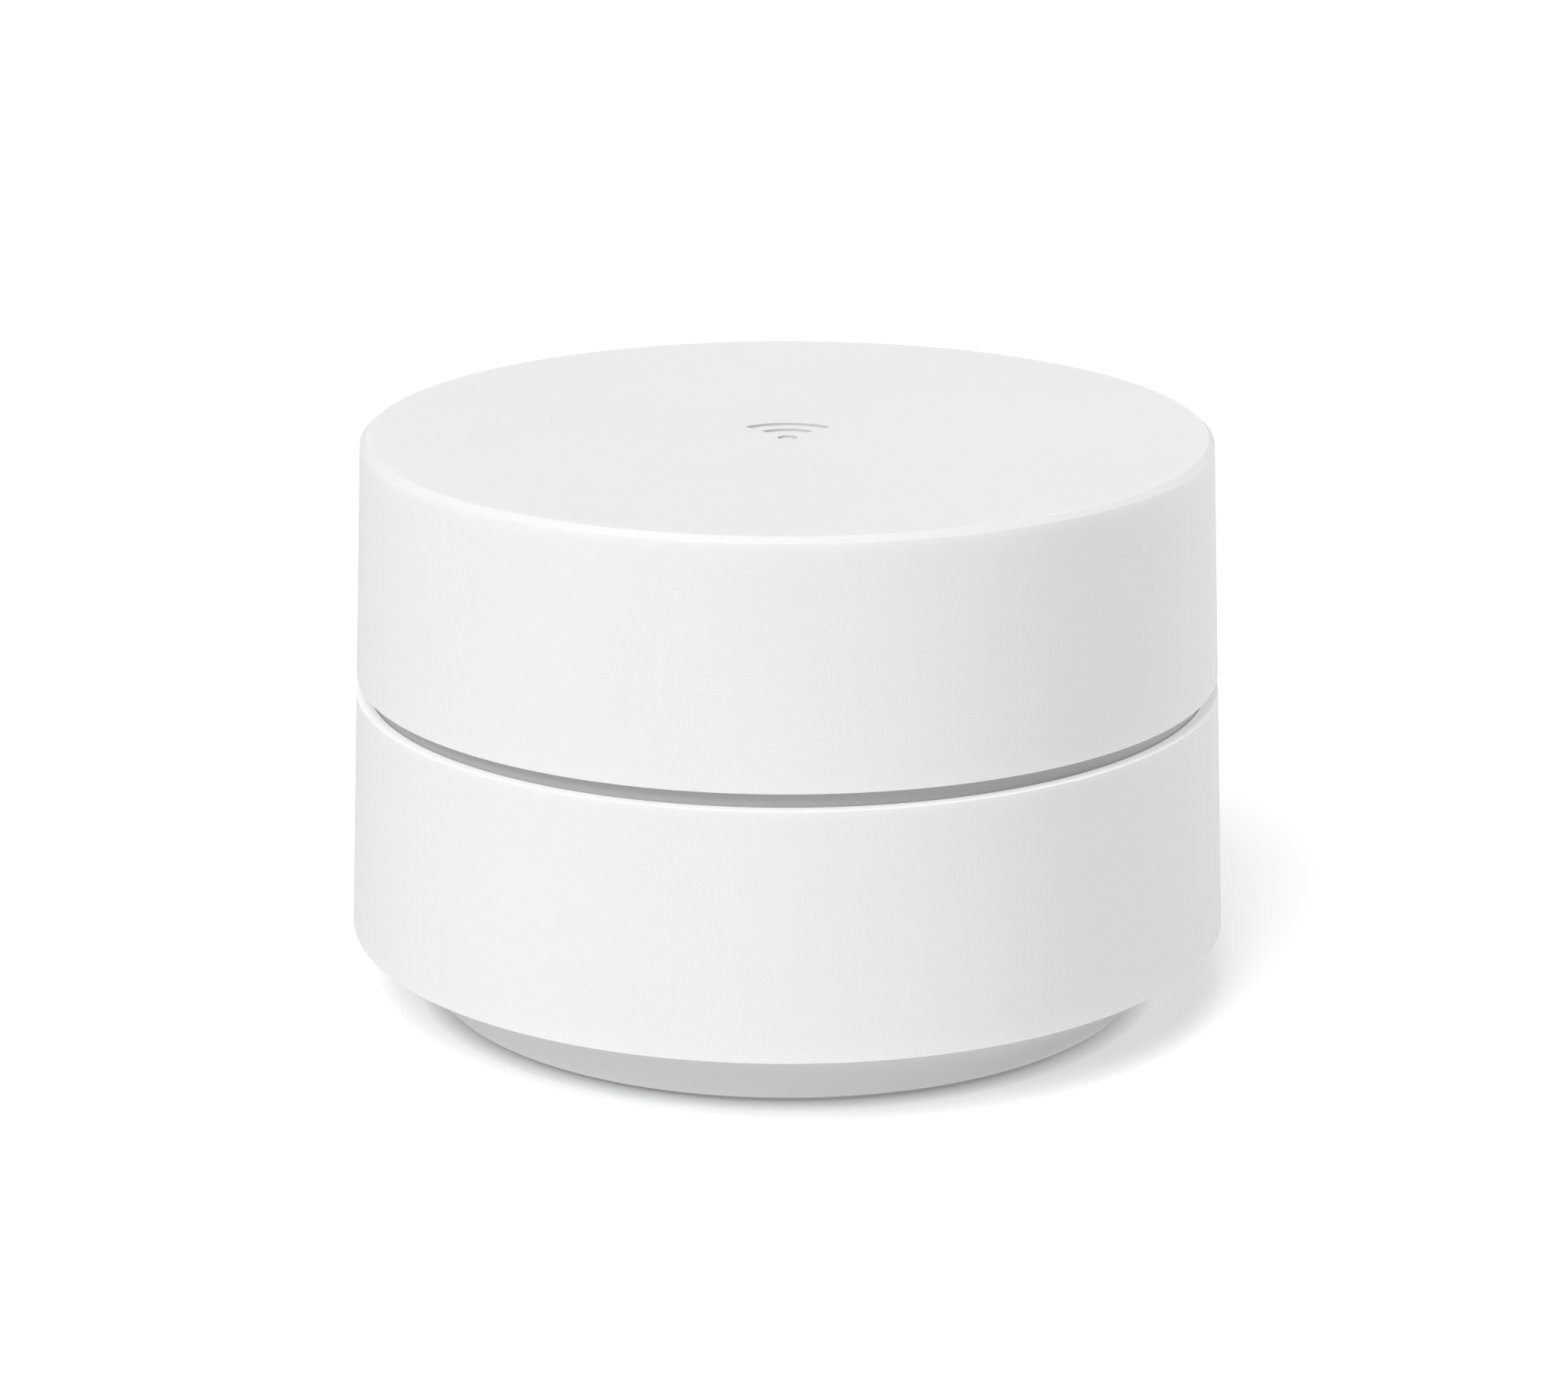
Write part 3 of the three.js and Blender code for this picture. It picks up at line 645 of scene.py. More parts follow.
lower = {
    "wall": [(51.11, 8.74), (53.06, 8.74), (51.92, 38.0), (50.4, 38.0), (50.4, 36.8), (49.97, 36.8)],
    "edgeRadius": 0.14, "buttonHole": 3.8, "buttonHeight": 25.6,
}
lowerShell = turnRings("lowerShell", lower["wall"])
cutAway(lowerShell, rodAlongY("buttonHole", lower["buttonHole"], 45, 60, (0, lower["buttonHeight"])))
softenEdges(lowerShell, lower["edgeRadius"], 3)
smooth(lowerShell)
paint(lowerShell, shellWhite, nodes=["lower_shell"])


def onLip(centre, normal):
    return centre.z > 37.7 and normal.z > 0.3


# the lip's top face glows with painted light, so it stays as bright as the lid under the ring's overhang
paintWhere(lowerShell, lipPaintedGlow, onLip)
print("lower shell done")

# base cover

base = {
    "wall": [(42.98, 0.7), (50.8, 8.5), (50.8, 11.5), (49.1, 11.5), (49.1, 9.2), (42.78, 3.0)],
    "screws": ((33.5, 15.6), (-33.5, 15.6), (18.5, -32), (-18.5, -32)),
    "edgeRadius": 0.15, "bayHalf": 28.8, "bayFront": 20.0,
    "groove": (33.7, 42.0, 1.6),   # inner radius, outer radius, top
    "labelSeat": (22.3, -8, 1.0),  # radius, place on Y, top
    "boss": 4.2, "bossTop": 16.2, "bore": 1.6, "counterbore": 3.1, "counterboreTop": 4.2,
}
baseCover = turnRings("baseCover", base["wall"], closed=False)
for spot in base["screws"]:
    weld(baseCover, rod("boss", base["boss"], 2.5, base["bossTop"], spot))
    cutAway(baseCover, rod("bore", base["bore"], -1, 20, spot, 32),
            rod("counterbore", base["counterbore"], -1, base["counterboreTop"], spot))
inner, outer, top = base["groove"]
cutAway(baseCover, turnRings("groove", [(inner, -1), (outer, -1), (outer, top), (inner, top)]))
radius, seatY, top = base["labelSeat"]
cutAway(baseCover, rod("seat", radius, -1, top, (0, seatY), 128))
half, front = base["bayHalf"], base["bayFront"]
cutAway(baseCover, blockBetween("bayCut", (-half, front, -2), (half, 60, 30)))
softenEdges(baseCover, base["edgeRadius"], 2)
smooth(baseCover)
paint(baseCover, basePaintedShade, nodes=["base_cover"])
print("base cover done")

# rubber foot

foot = {
    "rings": [(34.0, 0.0), (41.7, 0.0), (41.7, 1.5), (34.0, 1.5)],
    "edgeRadius": 0.25, "gapHalf": 30, "gapFront": 18,
}
rubberFoot = turnRings("rubberFoot", foot["rings"])
softenEdges(rubberFoot, foot["edgeRadius"], 3)
half, front = foot["gapHalf"], foot["gapFront"]
cutAway(rubberFoot, blockBetween("footCut", (-half, front, -2), (half, 60, 4)))
smooth(rubberFoot)
paint(rubberFoot, rubberGrey, nodes=["rubber_foot"])

# cable bay

bay = {
    "outer": 28.5, "inner": 27, "front": 20.3, "wall": 1.5, "roof": 18.9, "edgeRadius": 0.2,
    "limit": [(42.98, 0.7), (50.0, 7.7), (50.0, 25)],
    "jackX": 17.5, "windowHalf": 8.3, "windowLow": 3.0, "windowHigh": 16.7,
    "powerHeight": 9.23, "powerReach": 2.85, "powerRadius": 1.95,
}
outer, inner, front, wall = bay["outer"], bay["inner"], bay["front"], bay["wall"]
portBay = blockBetween("portBay", (-outer, front, 0), (outer, 60, bay["roof"] + wall))
keepShared(portBay, turnRings("bayLimit", bay["limit"], closed=False))
cutAway(portBay, blockBetween("bayInside", (-inner, front + wall, -2), (inner, 60, bay["roof"])))
for side in (-1, 1):
    jackX = side * bay["jackX"]
    cutAway(portBay, blockBetween("jackWindow", (jackX - bay["windowHalf"], 16, bay["windowLow"]),
                                  (jackX + bay["windowHalf"], 24.3, bay["windowHigh"])))
reach, height, radius = bay["powerReach"], bay["powerHeight"], bay["powerRadius"]
powerWindow = rodAlongY("powerWindow", radius, 18, 24, (reach, height))
weld(powerWindow, rodAlongY("other", radius, 18, 24, (-reach, height)),
     blockBetween("between", (-reach, 18, height - radius), (reach, 24, height + radius)))
cutAway(portBay, powerWindow)
softenEdges(portBay, bay["edgeRadius"], 2)
smooth(portBay)
paint(portBay, basePaintedShade, nodes=["port_bay"])
print("cable bay done")

# tools for the small parts

def finishEdges(piece, width, segments=2, smoothAngle=35):
    softenEdges(piece, width, segments)
    smooth(piece, smoothAngle)
    return piece


def joinPieces(name, pieces):
    # parts of one piece that only touch are kept as separate shells of one mesh
    clearSelection()
    for piece in pieces:
        piece.select_set(True)
    bpy.context.view_layer.objects.active = pieces[0]
    bpy.ops.object.join()
    pieces[0].name = name
    return pieces[0]


def copyOf(piece, name):
    made = piece.copy()
    made.data = piece.data.copy()
    made.name = name
    bpy.context.collection.objects.link(made)
    return made


def shift(piece, move):
    piece.location = [v * mm for v in move]
    bakePlace(piece)
    return piece


def copyTo(piece, name, move):
    return shift(copyOf(piece, name), move)


def copyTurned(piece, name, degrees):
    made = copyOf(piece, name)
    made.rotation_euler = (0, 0, math.radians(degrees))
    bakePlace(made)
    return made


def layAlongY(piece, across, up):
    # what was built up Z now points along +Y, its axis at (across, up)
    piece.rotation_euler = (-math.pi / 2, 0, 0)
    bakePlace(piece)
    return shift(piece, (across, 0, up))


def slabAt(name, x, y, width, depth, low, high):
    return blockBetween(name, (x - width / 2, y - depth / 2, low), (x + width / 2, y + depth / 2, high))


def polar(degrees, radius):
    return (radius * math.cos(math.radians(degrees)), radius * math.sin(math.radians(degrees)))


# reset button, plunger, switch and its board

reset = {
    "height": 25.6,
    "button": [(1.6, 46.75), (1.6, 48.6), (4.7, 48.6), (4.7, 49.6), (3.5, 49.6), (3.5, 52.6),
               (2.8, 52.6), (2.45, 52.42)],
    "plunger": [(1.5, 43.9), (1.5, 46.1), (1.2, 46.4)],
    "switchHalf": 3, "switchBack": 42.1, "switchFront": 44.9, "pocket": 1.8, "pocketBack": 43.6,
    "coverBack": 44.95, "coverFront": 45.35, "rivet": 0.4, "rivetReach": 2.4,
    "boardHalf": 9, "boardBack": 40.9, "boardLow": 20.7, "boardHigh": 33,
}
button = turnRings("resetButton", reset["button"], 96, closed=False)
paint(finishEdges(layAlongY(button, 0, reset["height"]), 0.15, 3), shellWhite, nodes=["reset_button"],
      body="reset_button_body")
plunger = turnRings("resetPlunger", reset["plunger"], 48, closed=False)
paint(finishEdges(layAlongY(plunger, 0, reset["height"]), 0.08), blackMoulding, nodes=["reset_plunger"],
      body="reset_plunger_body")

half = reset["switchHalf"]
low, high = reset["height"] - half, reset["height"] + half
axis = (0, reset["height"])
switchBody = blockBetween("resetSwitchBody", (-half, reset["switchBack"], low),
                          (half, reset["switchFront"], high))
cutAway(switchBody, rodAlongY("pocket", reset["pocket"], reset["pocketBack"], 46, axis, 48))
paint(finishEdges(switchBody, 0.1), blackMoulding, nodes=["reset_switch"])
switchCover = blockBetween("resetSwitchCover", (-half, reset["coverBack"], low),
                           (half, reset["coverFront"], high))
for x in (-reset["rivetReach"], reset["rivetReach"]):
    for z in (-reset["rivetReach"], reset["rivetReach"]):
        weld(switchCover, rodAlongY("rivet", reset["rivet"], 45.2, 45.55, (x, reset["height"] + z), 24))
cutAway(switchCover, rodAlongY("window", reset["pocket"], 44, 46, axis, 48))
paint(finishEdges(switchCover, 0.06), tinnedSteel, nodes=["reset_switch"])
half = reset["boardHalf"]
resetBoard = blockBetween("resetBoard", (-half, reset["boardBack"], reset["boardLow"]),
                          (half, reset["switchBack"], reset["boardHigh"]))
for x in (-7, 7):
    cutAway(resetBoard, rodAlongY("peg", 1.0, 40, 43, (x, 31), 32))
paint(finishEdges(resetBoard, 0.08), greenBoard, nodes=["reset_board"])
print("reset parts done")

# network jacks

jack = {
    "x": 17.5, "half": 8.0, "front": 3.5, "face": 21.5, "low": 3.3, "high": 16.4, "skin": 0.3,
    "mouthBack": 8.0, "mouthHalf": 5.95, "mouthLow": 7.3, "mouthHigh": 14.5,
    "latchHalf": 3.2, "latchLow": 5.7, "noseHalf": 1.9, "noseLow": 4.6,
    "wires": 8, "pitch": 1.02, "combHalf": 0.32, "wireHalf": 0.22,
    "tongues": (6.2, 11.2), "tongueHeight": 2.4, "slit": 0.35, "seamHalf": 0.12,
    "wireSteps": ((1.2, 0.0), (1.0, -0.5), (4.6, -1.7), (1.3, 0.25)),  # forwards and up
}


def networkJack(x, name):
    half, face, skin, mouthBack = jack["half"], jack["face"], jack["skin"], jack["mouthBack"]
    gap = skin + 0.05
    body = blockBetween(name + "Insert", (x - half + gap, jack["front"] + 0.4, jack["low"] + 0.1),
                        (x + half - gap, face - gap, jack["high"] - gap))
    for label, reach, low, high in (("mouth", jack["mouthHalf"], jack["mouthLow"], jack["mouthHigh"]),
                                    ("latch", jack["latchHalf"], jack["latchLow"], 8),
                                    ("nose", jack["noseHalf"], jack["noseLow"], 6)):
        cutAway(body, blockBetween(label, (x - reach, mouthBack, low), (x + reach, 30, high)))
    for i in range(jack["wires"]):
        slotX = x + (i - 3.5) * jack["pitch"]
        cutAway(body, blockBetween("comb", (slotX - jack["combHalf"], mouthBack + 3, 14),
                                   (slotX + jack["combHalf"], face - 1.6, 15.2)))
    shell = blockBetween(name + "Shell", (x - half, jack["front"], jack["low"]),
                         (x + half, face, jack["high"]))
    cutAway(shell, blockBetween("hollow", (x - half + skin, jack["front"] - 1, jack["low"] - 1),
                                (x + half - skin, face - skin, jack["high"] - skin)))
    cutAway(shell, blockBetween("window", (x - 6.3, 18, 7.0), (x + 6.3, 23, 14.8)))
    cutAway(shell, blockBetween("latchWindow", (x - 3.5, 18, 4.3), (x + 3.5, 23, 8)))
    for side in (-1, 1):
        # two spring tongues in each side, and a folded seam on top
        wallX, slit, tall = x + side * half, jack["slit"], jack["tongueHeight"]
        for z in jack["tongues"]:
            slits = ((14, 20.2, z, z + slit), (14, 20.2, z + tall, z + tall + slit),
                     (13.8, 14.15, z, z + tall + slit))
            for front, back, low, high in slits:
                cutAway(shell, blockBetween("slit", (wallX - 1, front, low), (wallX + 1, back, high)))
    high, seam = jack["high"], jack["seamHalf"]
    cutAway(shell, blockBetween("seam", (x - seam, 4, high - 1), (x + seam, 20, high + 1)))
    return finishEdges(shell, 0.08, 2), finishEdges(body, 0.1, 2)


def jackContacts(x, name):
    # each wire is a small block drawn forwards and down in steps, with a lift at its tip
    wires = []
    for i in range(jack["wires"]):
        centre = x + (i - 3.5) * jack["pitch"]
        wire = blockBetween("wire", (centre - jack["wireHalf"], 8.6, 13.6),
                            (centre + jack["wireHalf"], 9.0, 14.0))
        editSome(wire, "FACE", wire.data.polygons, lambda face: face.normal.y > 0.9)
        for forward, rise in jack["wireSteps"]:
            bpy.ops.mesh.extrude_region_move()
            bpy.ops.transform.translate(value=(0, forward * mm, rise * mm))
        objectMode()
        wires.append(finishEdges(wire, 0.06, 2, 60))
    return joinPieces(name, wires)


for side, name in ((-1, "wan"), (1, "lan")):
    shell, insert = networkJack(side * jack["x"], name + "Jack")
    paint(shell, tinnedSteel, nodes=[name + "_jack"])
    paint(insert, blackMoulding, nodes=[name + "_jack"])
    contacts = jackContacts(side * jack["x"], name + "Contacts")
    paint(contacts, goldPlate, nodes=[name + "_jack_contacts"])
print("network jacks done")

# power socket

power = {
    "height": 9.23, "outer": (8.94, 3.26), "inner": (8.34, 2.56), "front": 14.2, "back": 0.8,
    "face": 21.5, "tongueHalf": 3.35, "tongueBack": 15.3, "tongueFront": 20.4, "tongueLow": 8.88,
    "tongueHigh": 9.58,
    "pads": 12, "padPitch": 0.5, "padHalf": 0.13, "padThickness": 0.07, "padHeights": (8.83, 9.56),
    "riserHalf": 4.4, "riserFront": 19.6, "riserLow": 11.16, "riserHigh": 16.4,
    "ribs": (-2.6, 0, 2.6), "ribHalf": 0.7, "ribBack": 18.9, "ribLow": 11.9, "ribHigh": 15.7,
}


def roundedSlot(name, width, height, front, back, up):
    # a round-ended bar along Y
    reach = (width - height) / 2
    bar = rodAlongY(name, height / 2, front, back, (reach, up), 48)
    weld(bar, rodAlongY("end", height / 2, front, back, (-reach, up), 48))
    weld(bar, blockBetween("middle", (-reach, front, up - height / 2), (reach, back, up + height / 2)))
    return bar


powerShell = roundedSlot("powerShell", *power["outer"], power["front"], power["face"], power["height"])
cutAway(powerShell, roundedSlot("powerHollow", *power["inner"], power["front"] + power["back"],
                                power["face"] + 2, power["height"]))
paint(finishEdges(powerShell, 0.06), tinnedSteel, nodes=["power_socket"])
half = power["tongueHalf"]
powerTongue = blockBetween("powerTongue", (-half, power["tongueBack"], power["tongueLow"]),
                           (half, power["tongueFront"], power["tongueHigh"]))
paint(finishEdges(powerTongue, 0.15), blackMoulding, nodes=["power_socket_tongue"])
pads = []
for i in range(power["pads"]):
    x = (i - 5.5) * power["padPitch"]
    for low in power["padHeights"]:
        pads.append(blockBetween("pad", (x - power["padHalf"], 17.0, low),
                                 (x + power["padHalf"], 20.1, low + power["padThickness"])))
paint(finishEdges(joinPieces("powerPads", pads), 0.02, 1), goldPlate, nodes=["power_socket_tongue"])
half = power["riserHalf"]
powerRiser = blockBetween("powerRiser", (-half, power["front"], power["riserLow"]),
                          (half, power["riserFront"], power["riserHigh"]))
for x in power["ribs"]:
    cutAway(powerRiser, blockBetween("rib", (x - power["ribHalf"], power["ribBack"], power["ribLow"]),
                                     (x + power["ribHalf"], 21, power["ribHigh"])))
paint(finishEdges(powerRiser, 0.15), blackMoulding, nodes=["power_socket_riser"])
print("power socket done")

# main board and what sits on it

board = {"radius": 44.5, "low": 16.5, "high": 18.1, "bayHalf": 28.9, "bayFront": 19.9, "screwHole": 1.7}
mainBoard = rod("mainBoard", board["radius"], board["low"], board["high"], sides=256)
half, front = board["bayHalf"], board["bayFront"]
cutAway(mainBoard, blockBetween("bayNotch", (-half, front, 10), (half, 60, 20)))
for spot in base["screws"]:
    cutAway(mainBoard, rod("hole", board["screwHole"], 10, 20, spot, 48))
paint(finishEdges(mainBoard, 0.08), greenBoard, nodes=["main_board"])


chipForm = {"low": 18.15, "pinMark": 0.45, "pinDepth": 0.08, "pinInset": 1.2}


def chip(name, x, y, width, depth, height):
    low, inset = chipForm["low"], chipForm["pinInset"]
    body = slabAt(name, x, y, width, depth, low, low + height)
    spot = (x - width / 2 + inset, y + depth / 2 - inset)
    markLow = low + height - chipForm["pinDepth"]
    cutAway(body, rod("pinMark", chipForm["pinMark"], markLow, low + height + 1, spot, 24))
    return finishEdges(body, 0.08)


# piece, node, place on X and Y, width, depth, height
chips = [
    ("processorChip", "processor_chip", -6, -16, 14, 14, 1.2),
    ("memoryChip", "memory_chip", 8.5, -16, 9, 13, 1.0),
    ("radioChipLeft", "radio_chip_left", -27, -4, 7, 7, 0.9),
    ("radioChipRight", "radio_chip_right", 27, -4, 7, 7, 0.9),
    ("flashChip", "flash_chip", 0, 8, 12, 10, 1.0),
    ("transformerLeft", "network_transformer_left", -17.5, 11, 12, 9, 2.5),
    ("transformerRight", "network_transformer_right", 17.5, 11, 12, 9, 2.5),
]
for name, node, *shape in chips:
    paint(chip(name, *shape), blackMoulding, nodes=[node])


onBoard = 18.12  # just above the board's face
legForm = {
    "width": 0.35, "footReach": 0.75, "footDepth": 0.6, "footHigh": 18.24,
    "shankReach": 0.35, "shankDepth": 0.2, "shankHigh": 18.7,
}


def gullLegs(name, x, y, depth, count, pitch):
    # a row of bent legs down each long side
    legs = []
    width, low = legForm["width"], onBoard
    for side in (-1, 1):
        for i in range(count):
            legX = x + (i - (count - 1) / 2) * pitch
            edge = y + side * depth / 2
            for part in ("foot", "shank"):
                legs.append(slabAt(part, legX, edge + side * legForm[part + "Reach"], width,
                                   legForm[part + "Depth"], low, legForm[part + "High"]))
    return joinPieces(name, legs)


# piece, node, place on X and Y, depth of the chip, legs a side, pitch
legRows = [
    ("flashLegs", "flash_chip", 0, 8, 10, 12, 0.9),
    ("transformerLegsLeft", "network_transformer_left", -17.5, 11, 9, 10, 1.1),
    ("transformerLegsRight", "network_transformer_right", 17.5, 11, 9, 10, 1.1),
]
for name, node, *shape in legRows:
    paint(gullLegs(name, *shape), tinnedSteel, nodes=[node])


# size in mm, and the body and ends as shares of it
passive = {"size": 1.6, "high": 18.9, "body": 0.5, "endPlace": 0.4, "endLength": 0.2, "endWidth": 0.54}


def passives(name, spots):
    # chip capacitors and resistors: a body with two plated ends
    size, high = passive["size"], passive["high"]
    body, place = size * passive["body"], size * passive["endPlace"]
    length, width = size * passive["endLength"], size * passive["endWidth"]
    parts = []
    for x, y in spots:
        parts.append(slabAt("body", x, y, body, body, onBoard, high - 0.05))
        for endX in (x - place, x + place):
            parts.append(slabAt("end", endX, y, length, width, onBoard, high))
    return finishEdges(joinPieces(name, parts), 0.04, 1)


rows = [(-36 + 3.2 * i, -26 + (i % 2) * 1.4) for i in range(4)]
rows += [(24 + 3.2 * i, -26 + (i % 2) * 1.4) for i in range(4)]
rows += [(-12 + 2.4 * i, -34) for i in range(11)] + [(-36, 10 + 2.2 * i) for i in range(2)]
rows += [(36, 10 + 2.2 * i) for i in range(2)] + [(-8 + 2.3 * i, 15.2) for i in range(2)]
paint(passives("boardPassives", rows), zincScrew, nodes=["main_board"])


canForm = {"sheet": 0.4, "vent": 0.6, "ventInset": 1.6, "notch": 0.9, "notchDepth": 0.5}


def shieldCan(name, x, y, width, depth, low, high, down=True):
    can = slabAt(name, x, y, width, depth, low, high)
    sheet, inset, deep = canForm["sheet"], canForm["ventInset"], canForm["notchDepth"]
    hollow = (low - 1, high - sheet) if down else (low + sheet, high + 1)
    skin = (high - 1, high + 1) if down else (low - 1, low + 1)
    rim = (low - 1, low + deep) if down else (high - deep, high + 1)
    cutAway(can, slabAt("hollow", x, y, width - 2 * sheet, depth - 2 * sheet, *hollow))
    for i in (-1, 1):
        for j in (-1, 1):
            spot = (x + i * (width / 2 - inset), y + j * (depth / 2 - inset))
            cutAway(can, rod("vent", canForm["vent"], *skin, spot, 24))
    for i in range(-2, 3):
        cutAway(can, slabAt("notch", x + i * width / 6, y, canForm["notch"], depth + 2, *rim))
    return finishEdges(can, 0.15)


# piece, node, place on X and Y, width, depth, low, high, open side down or not
shields = [
    ("processorShield", "processor_shield", 0, -16, 30, 24, 18.2, 20.5),
    ("radioShieldLeft", "radio_left_shield", -27, -4, 16, 20, 18.2, 20.5),
    ("radioShieldRight", "radio_right_shield", 27, -4, 16, 20, 18.2, 20.5),
    ("powerShield", "power_shield", 0, -20, 22, 16, 14.0, 16.4, False),
]
for name, node, *shape in shields:
    paint(shieldCan(name, *shape), tinnedSteel, nodes=[node])

coil = {"y": 7, "side": 7, "low": 13.4, "high": 16.4, "corner": 1.2, "markRadius": 2.3}
inductor = slabAt("powerInductor", 0, coil["y"], coil["side"], coil["side"], coil["low"], coil["high"])


def isUpright(edge):
    a, b = (inductor.data.vertices[i].co for i in edge.vertices)
    return abs((a - b).normalized().z) > 0.9


editSome(inductor, "EDGE", inductor.data.edges, isUpright)
bpy.ops.mesh.bevel(offset=coil["corner"] * mm, segments=4)
objectMode()
cutAway(inductor, rod("coreMark", coil["markRadius"], 13, 13.5, (0, coil["y"]), 48))
paint(finishEdges(inductor, 0.12), blackMoulding, nodes=["power_inductor"])
print("main board done")

# heat sink and lower plate

sink = {
    "radius": 40, "low": 21.3, "high": 23.8, "finTop": 33.5, "fin": 1.4, "pitch": 5, "finReach": 30,
    "columns": (90, 210, 330), "columnRadius": 36, "column": 3.2, "columnTop": 42.0, "columnBore": 1.3,
    "seat": 2.9, "seatLow": 18.4, "seatBore": 1.55,
}
heatSink = rod("heatSink", sink["radius"], sink["low"], sink["high"], sides=192)
for y in range(-sink["finReach"], sink["finReach"] + 1, sink["pitch"]):
    half = math.sqrt((sink["radius"] - 1.5) ** 2 - y ** 2)
    weld(heatSink, slabAt("fin", 0, y, 2 * half, sink["fin"], sink["high"] - 0.5, sink["finTop"]))
for spot in base["screws"]:
    weld(heatSink, rod("seat", sink["seat"], sink["seatLow"], 22.3, spot, 48))
    cutAway(heatSink, rod("seatBore", sink["seatBore"], 10, 22.9, spot, 32))
for angle in sink["columns"]:
    spot = polar(angle, sink["columnRadius"])
    weld(heatSink, rod("column", sink["column"], sink["high"] - 0.5, sink["columnTop"], spot, 48))
    cutAway(heatSink, rod("columnBore", sink["columnBore"], 34, 50, spot, 32))
paint(finishEdges(heatSink, 0.15), castAluminium, nodes=["heat_sink"])

plate = {"radius": 41, "low": 12.0, "high": 13.2, "edge": 1, "clearance": 4.6}
lowerPlate = rod("lowerHeatPlate", plate["radius"], plate["low"], plate["high"], sides=192)
cutAway(lowerPlate, blockBetween("half", (-60, plate["edge"], 10), (60, 60, 15)))
for spot in base["screws"]:
    cutAway(lowerPlate, rod("clearance", plate["clearance"], 10, 15, spot, 48))
for x in (-24, 24):
    cutAway(lowerPlate, slabAt("lightening", x, -12, 10, 12, 10, 15))
paint(finishEdges(lowerPlate, 0.12), castAluminium, nodes=["lower_heat_plate"])
print("heat sink done")

# light board with its emitters

lamps = {
    "board": [(45.2, 34.9), (49.2, 34.9), (49.2, 35.9), (45.2, 35.9)],
    "angles": (-45, -135, 55, 125), "radius": 48,
    # depth, width, low, high
    "case": (2, 3, 35.95, 36.85), "cup": (1.4, 2.2, 36.55, 38), "lens": (1.36, 2.16, 36.5, 36.8),
}
ledBoard = turnRings("ledBoard", lamps["board"])
paint(finishEdges(ledBoard, 0.06), greenBoard, nodes=["led_board"])
for i, angle in enumerate(lamps["angles"]):
    case = slabAt("ledCase", lamps["radius"], 0, *lamps["case"])
    cutAway(case, slabAt("ledCup", lamps["radius"], 0, *lamps["cup"]))
    lens = slabAt("ledLens", lamps["radius"], 0, *lamps["lens"])
    for part, name, finish in ((finishEdges(case, 0.06), "ledCase", innerWhite),
                               (finishEdges(lens, 0.05), "ledLens", ledResin)):
        turned = copyTurned(part, name + str(i + 1), angle)
        paint(turned, finish, nodes=["status_led_" + str(i + 1)])
        discard(part)
print("light board done")

# antenna frame, antennas and leads

antenna = {
    "angles": (40, 140, -140, -40), "legs": (0, 90, 180, -90), "lead": 0.65, "leadRadius": 43,
    "frame": [(31, 42.3), (47, 42.3), (47, 43.8), (46.2, 43.8), (46.2, 64.5), (44.6, 64.5),
              (44.6, 43.8), (31, 43.8)],
    # blocks as low and high corners, before they are turned to their angles
    "pad": ((45.5, -5, 50), (46.5, 5, 61)), "leg": ((45.4, -3, 36.2), (46.9, 3, 42.8)),
    "rib": ((41.5, -0.6, 43.5), (44.9, 0.6, 50)), "window": ((42.4, -1.5, 45.5), (48.4, 1.5, 48.5)),
    "board": ((46.8, -7, 45), (47.6, 7, 63)), "notch": ((46, -3.2, 60.5), (48, 3.2, 64)),
    "copper": (47.58, 47.66),
}
antennaFrame = turnRings("antennaFrame", antenna["frame"])
for angle in antenna["angles"]:
    weld(antennaFrame, blockBetween("pad", *antenna["pad"], angle))
for angle in antenna["legs"]:
    weld(antennaFrame, blockBetween("leg", *antenna["leg"], angle))
for angle in range(20, 360, 40):
    weld(antennaFrame, blockBetween("rib", *antenna["rib"], angle))
for angle in antenna["angles"]:
    cutAway(antennaFrame, blockBetween("window", *antenna["window"], angle))
    cutAway(antennaFrame, rod("leadHole", 1.4, 40, 44.8, polar(angle, antenna["leadRadius"]), 32))
for angle in sink["columns"]:
    cutAway(antennaFrame, rod("screwHole", 1.6, 40, 50, polar(angle, sink["columnRadius"]), 32))
paint(finishEdges(antennaFrame, 0.12), innerWhite, nodes=["antenna_frame"])

plateBoard = blockBetween("antennaBoard", *antenna["board"])
cutAway(plateBoard, blockBetween("notch", *antenna["notch"]))
finishEdges(plateBoard, 0.06)
# each strip of copper, from one side and height to another
strips = [
    (-6.2, -0.5, 56.8, 58.4), (0.5, 6.2, 56.8, 58.4), (-6.2, -4.8, 51.0, 58.4), (4.8, 6.2, 51.0, 58.4),
    (-0.9, -0.5, 46.0, 57.4), (0.5, 0.9, 46.0, 57.4), (-6.2, 6.2, 45.6, 46.8),
]
back, face = antenna["copper"]
arms = []
for left, right, low, high in strips:
    arms.append(blockBetween("arm", (back, left, low), (face, right, high)))
for arm in arms[1:]:
    weld(arms[0], arm)
arms[0].name = "antennaCopper"
finishEdges(arms[0], 0.02, 1)

# radius and height along each lead, from the antenna down to the main board
leadRoute = [(46.4, 47), (45.2, 47), (43.8, 46.5), (43.1, 45.2), (43, 42), (43, 32), (42.7, 25),
             (41.9, 21), (41.6, 19.2)]
plugRings = [(1.4, 18.2), (1.4, 19.3), (1.1, 19.7)]


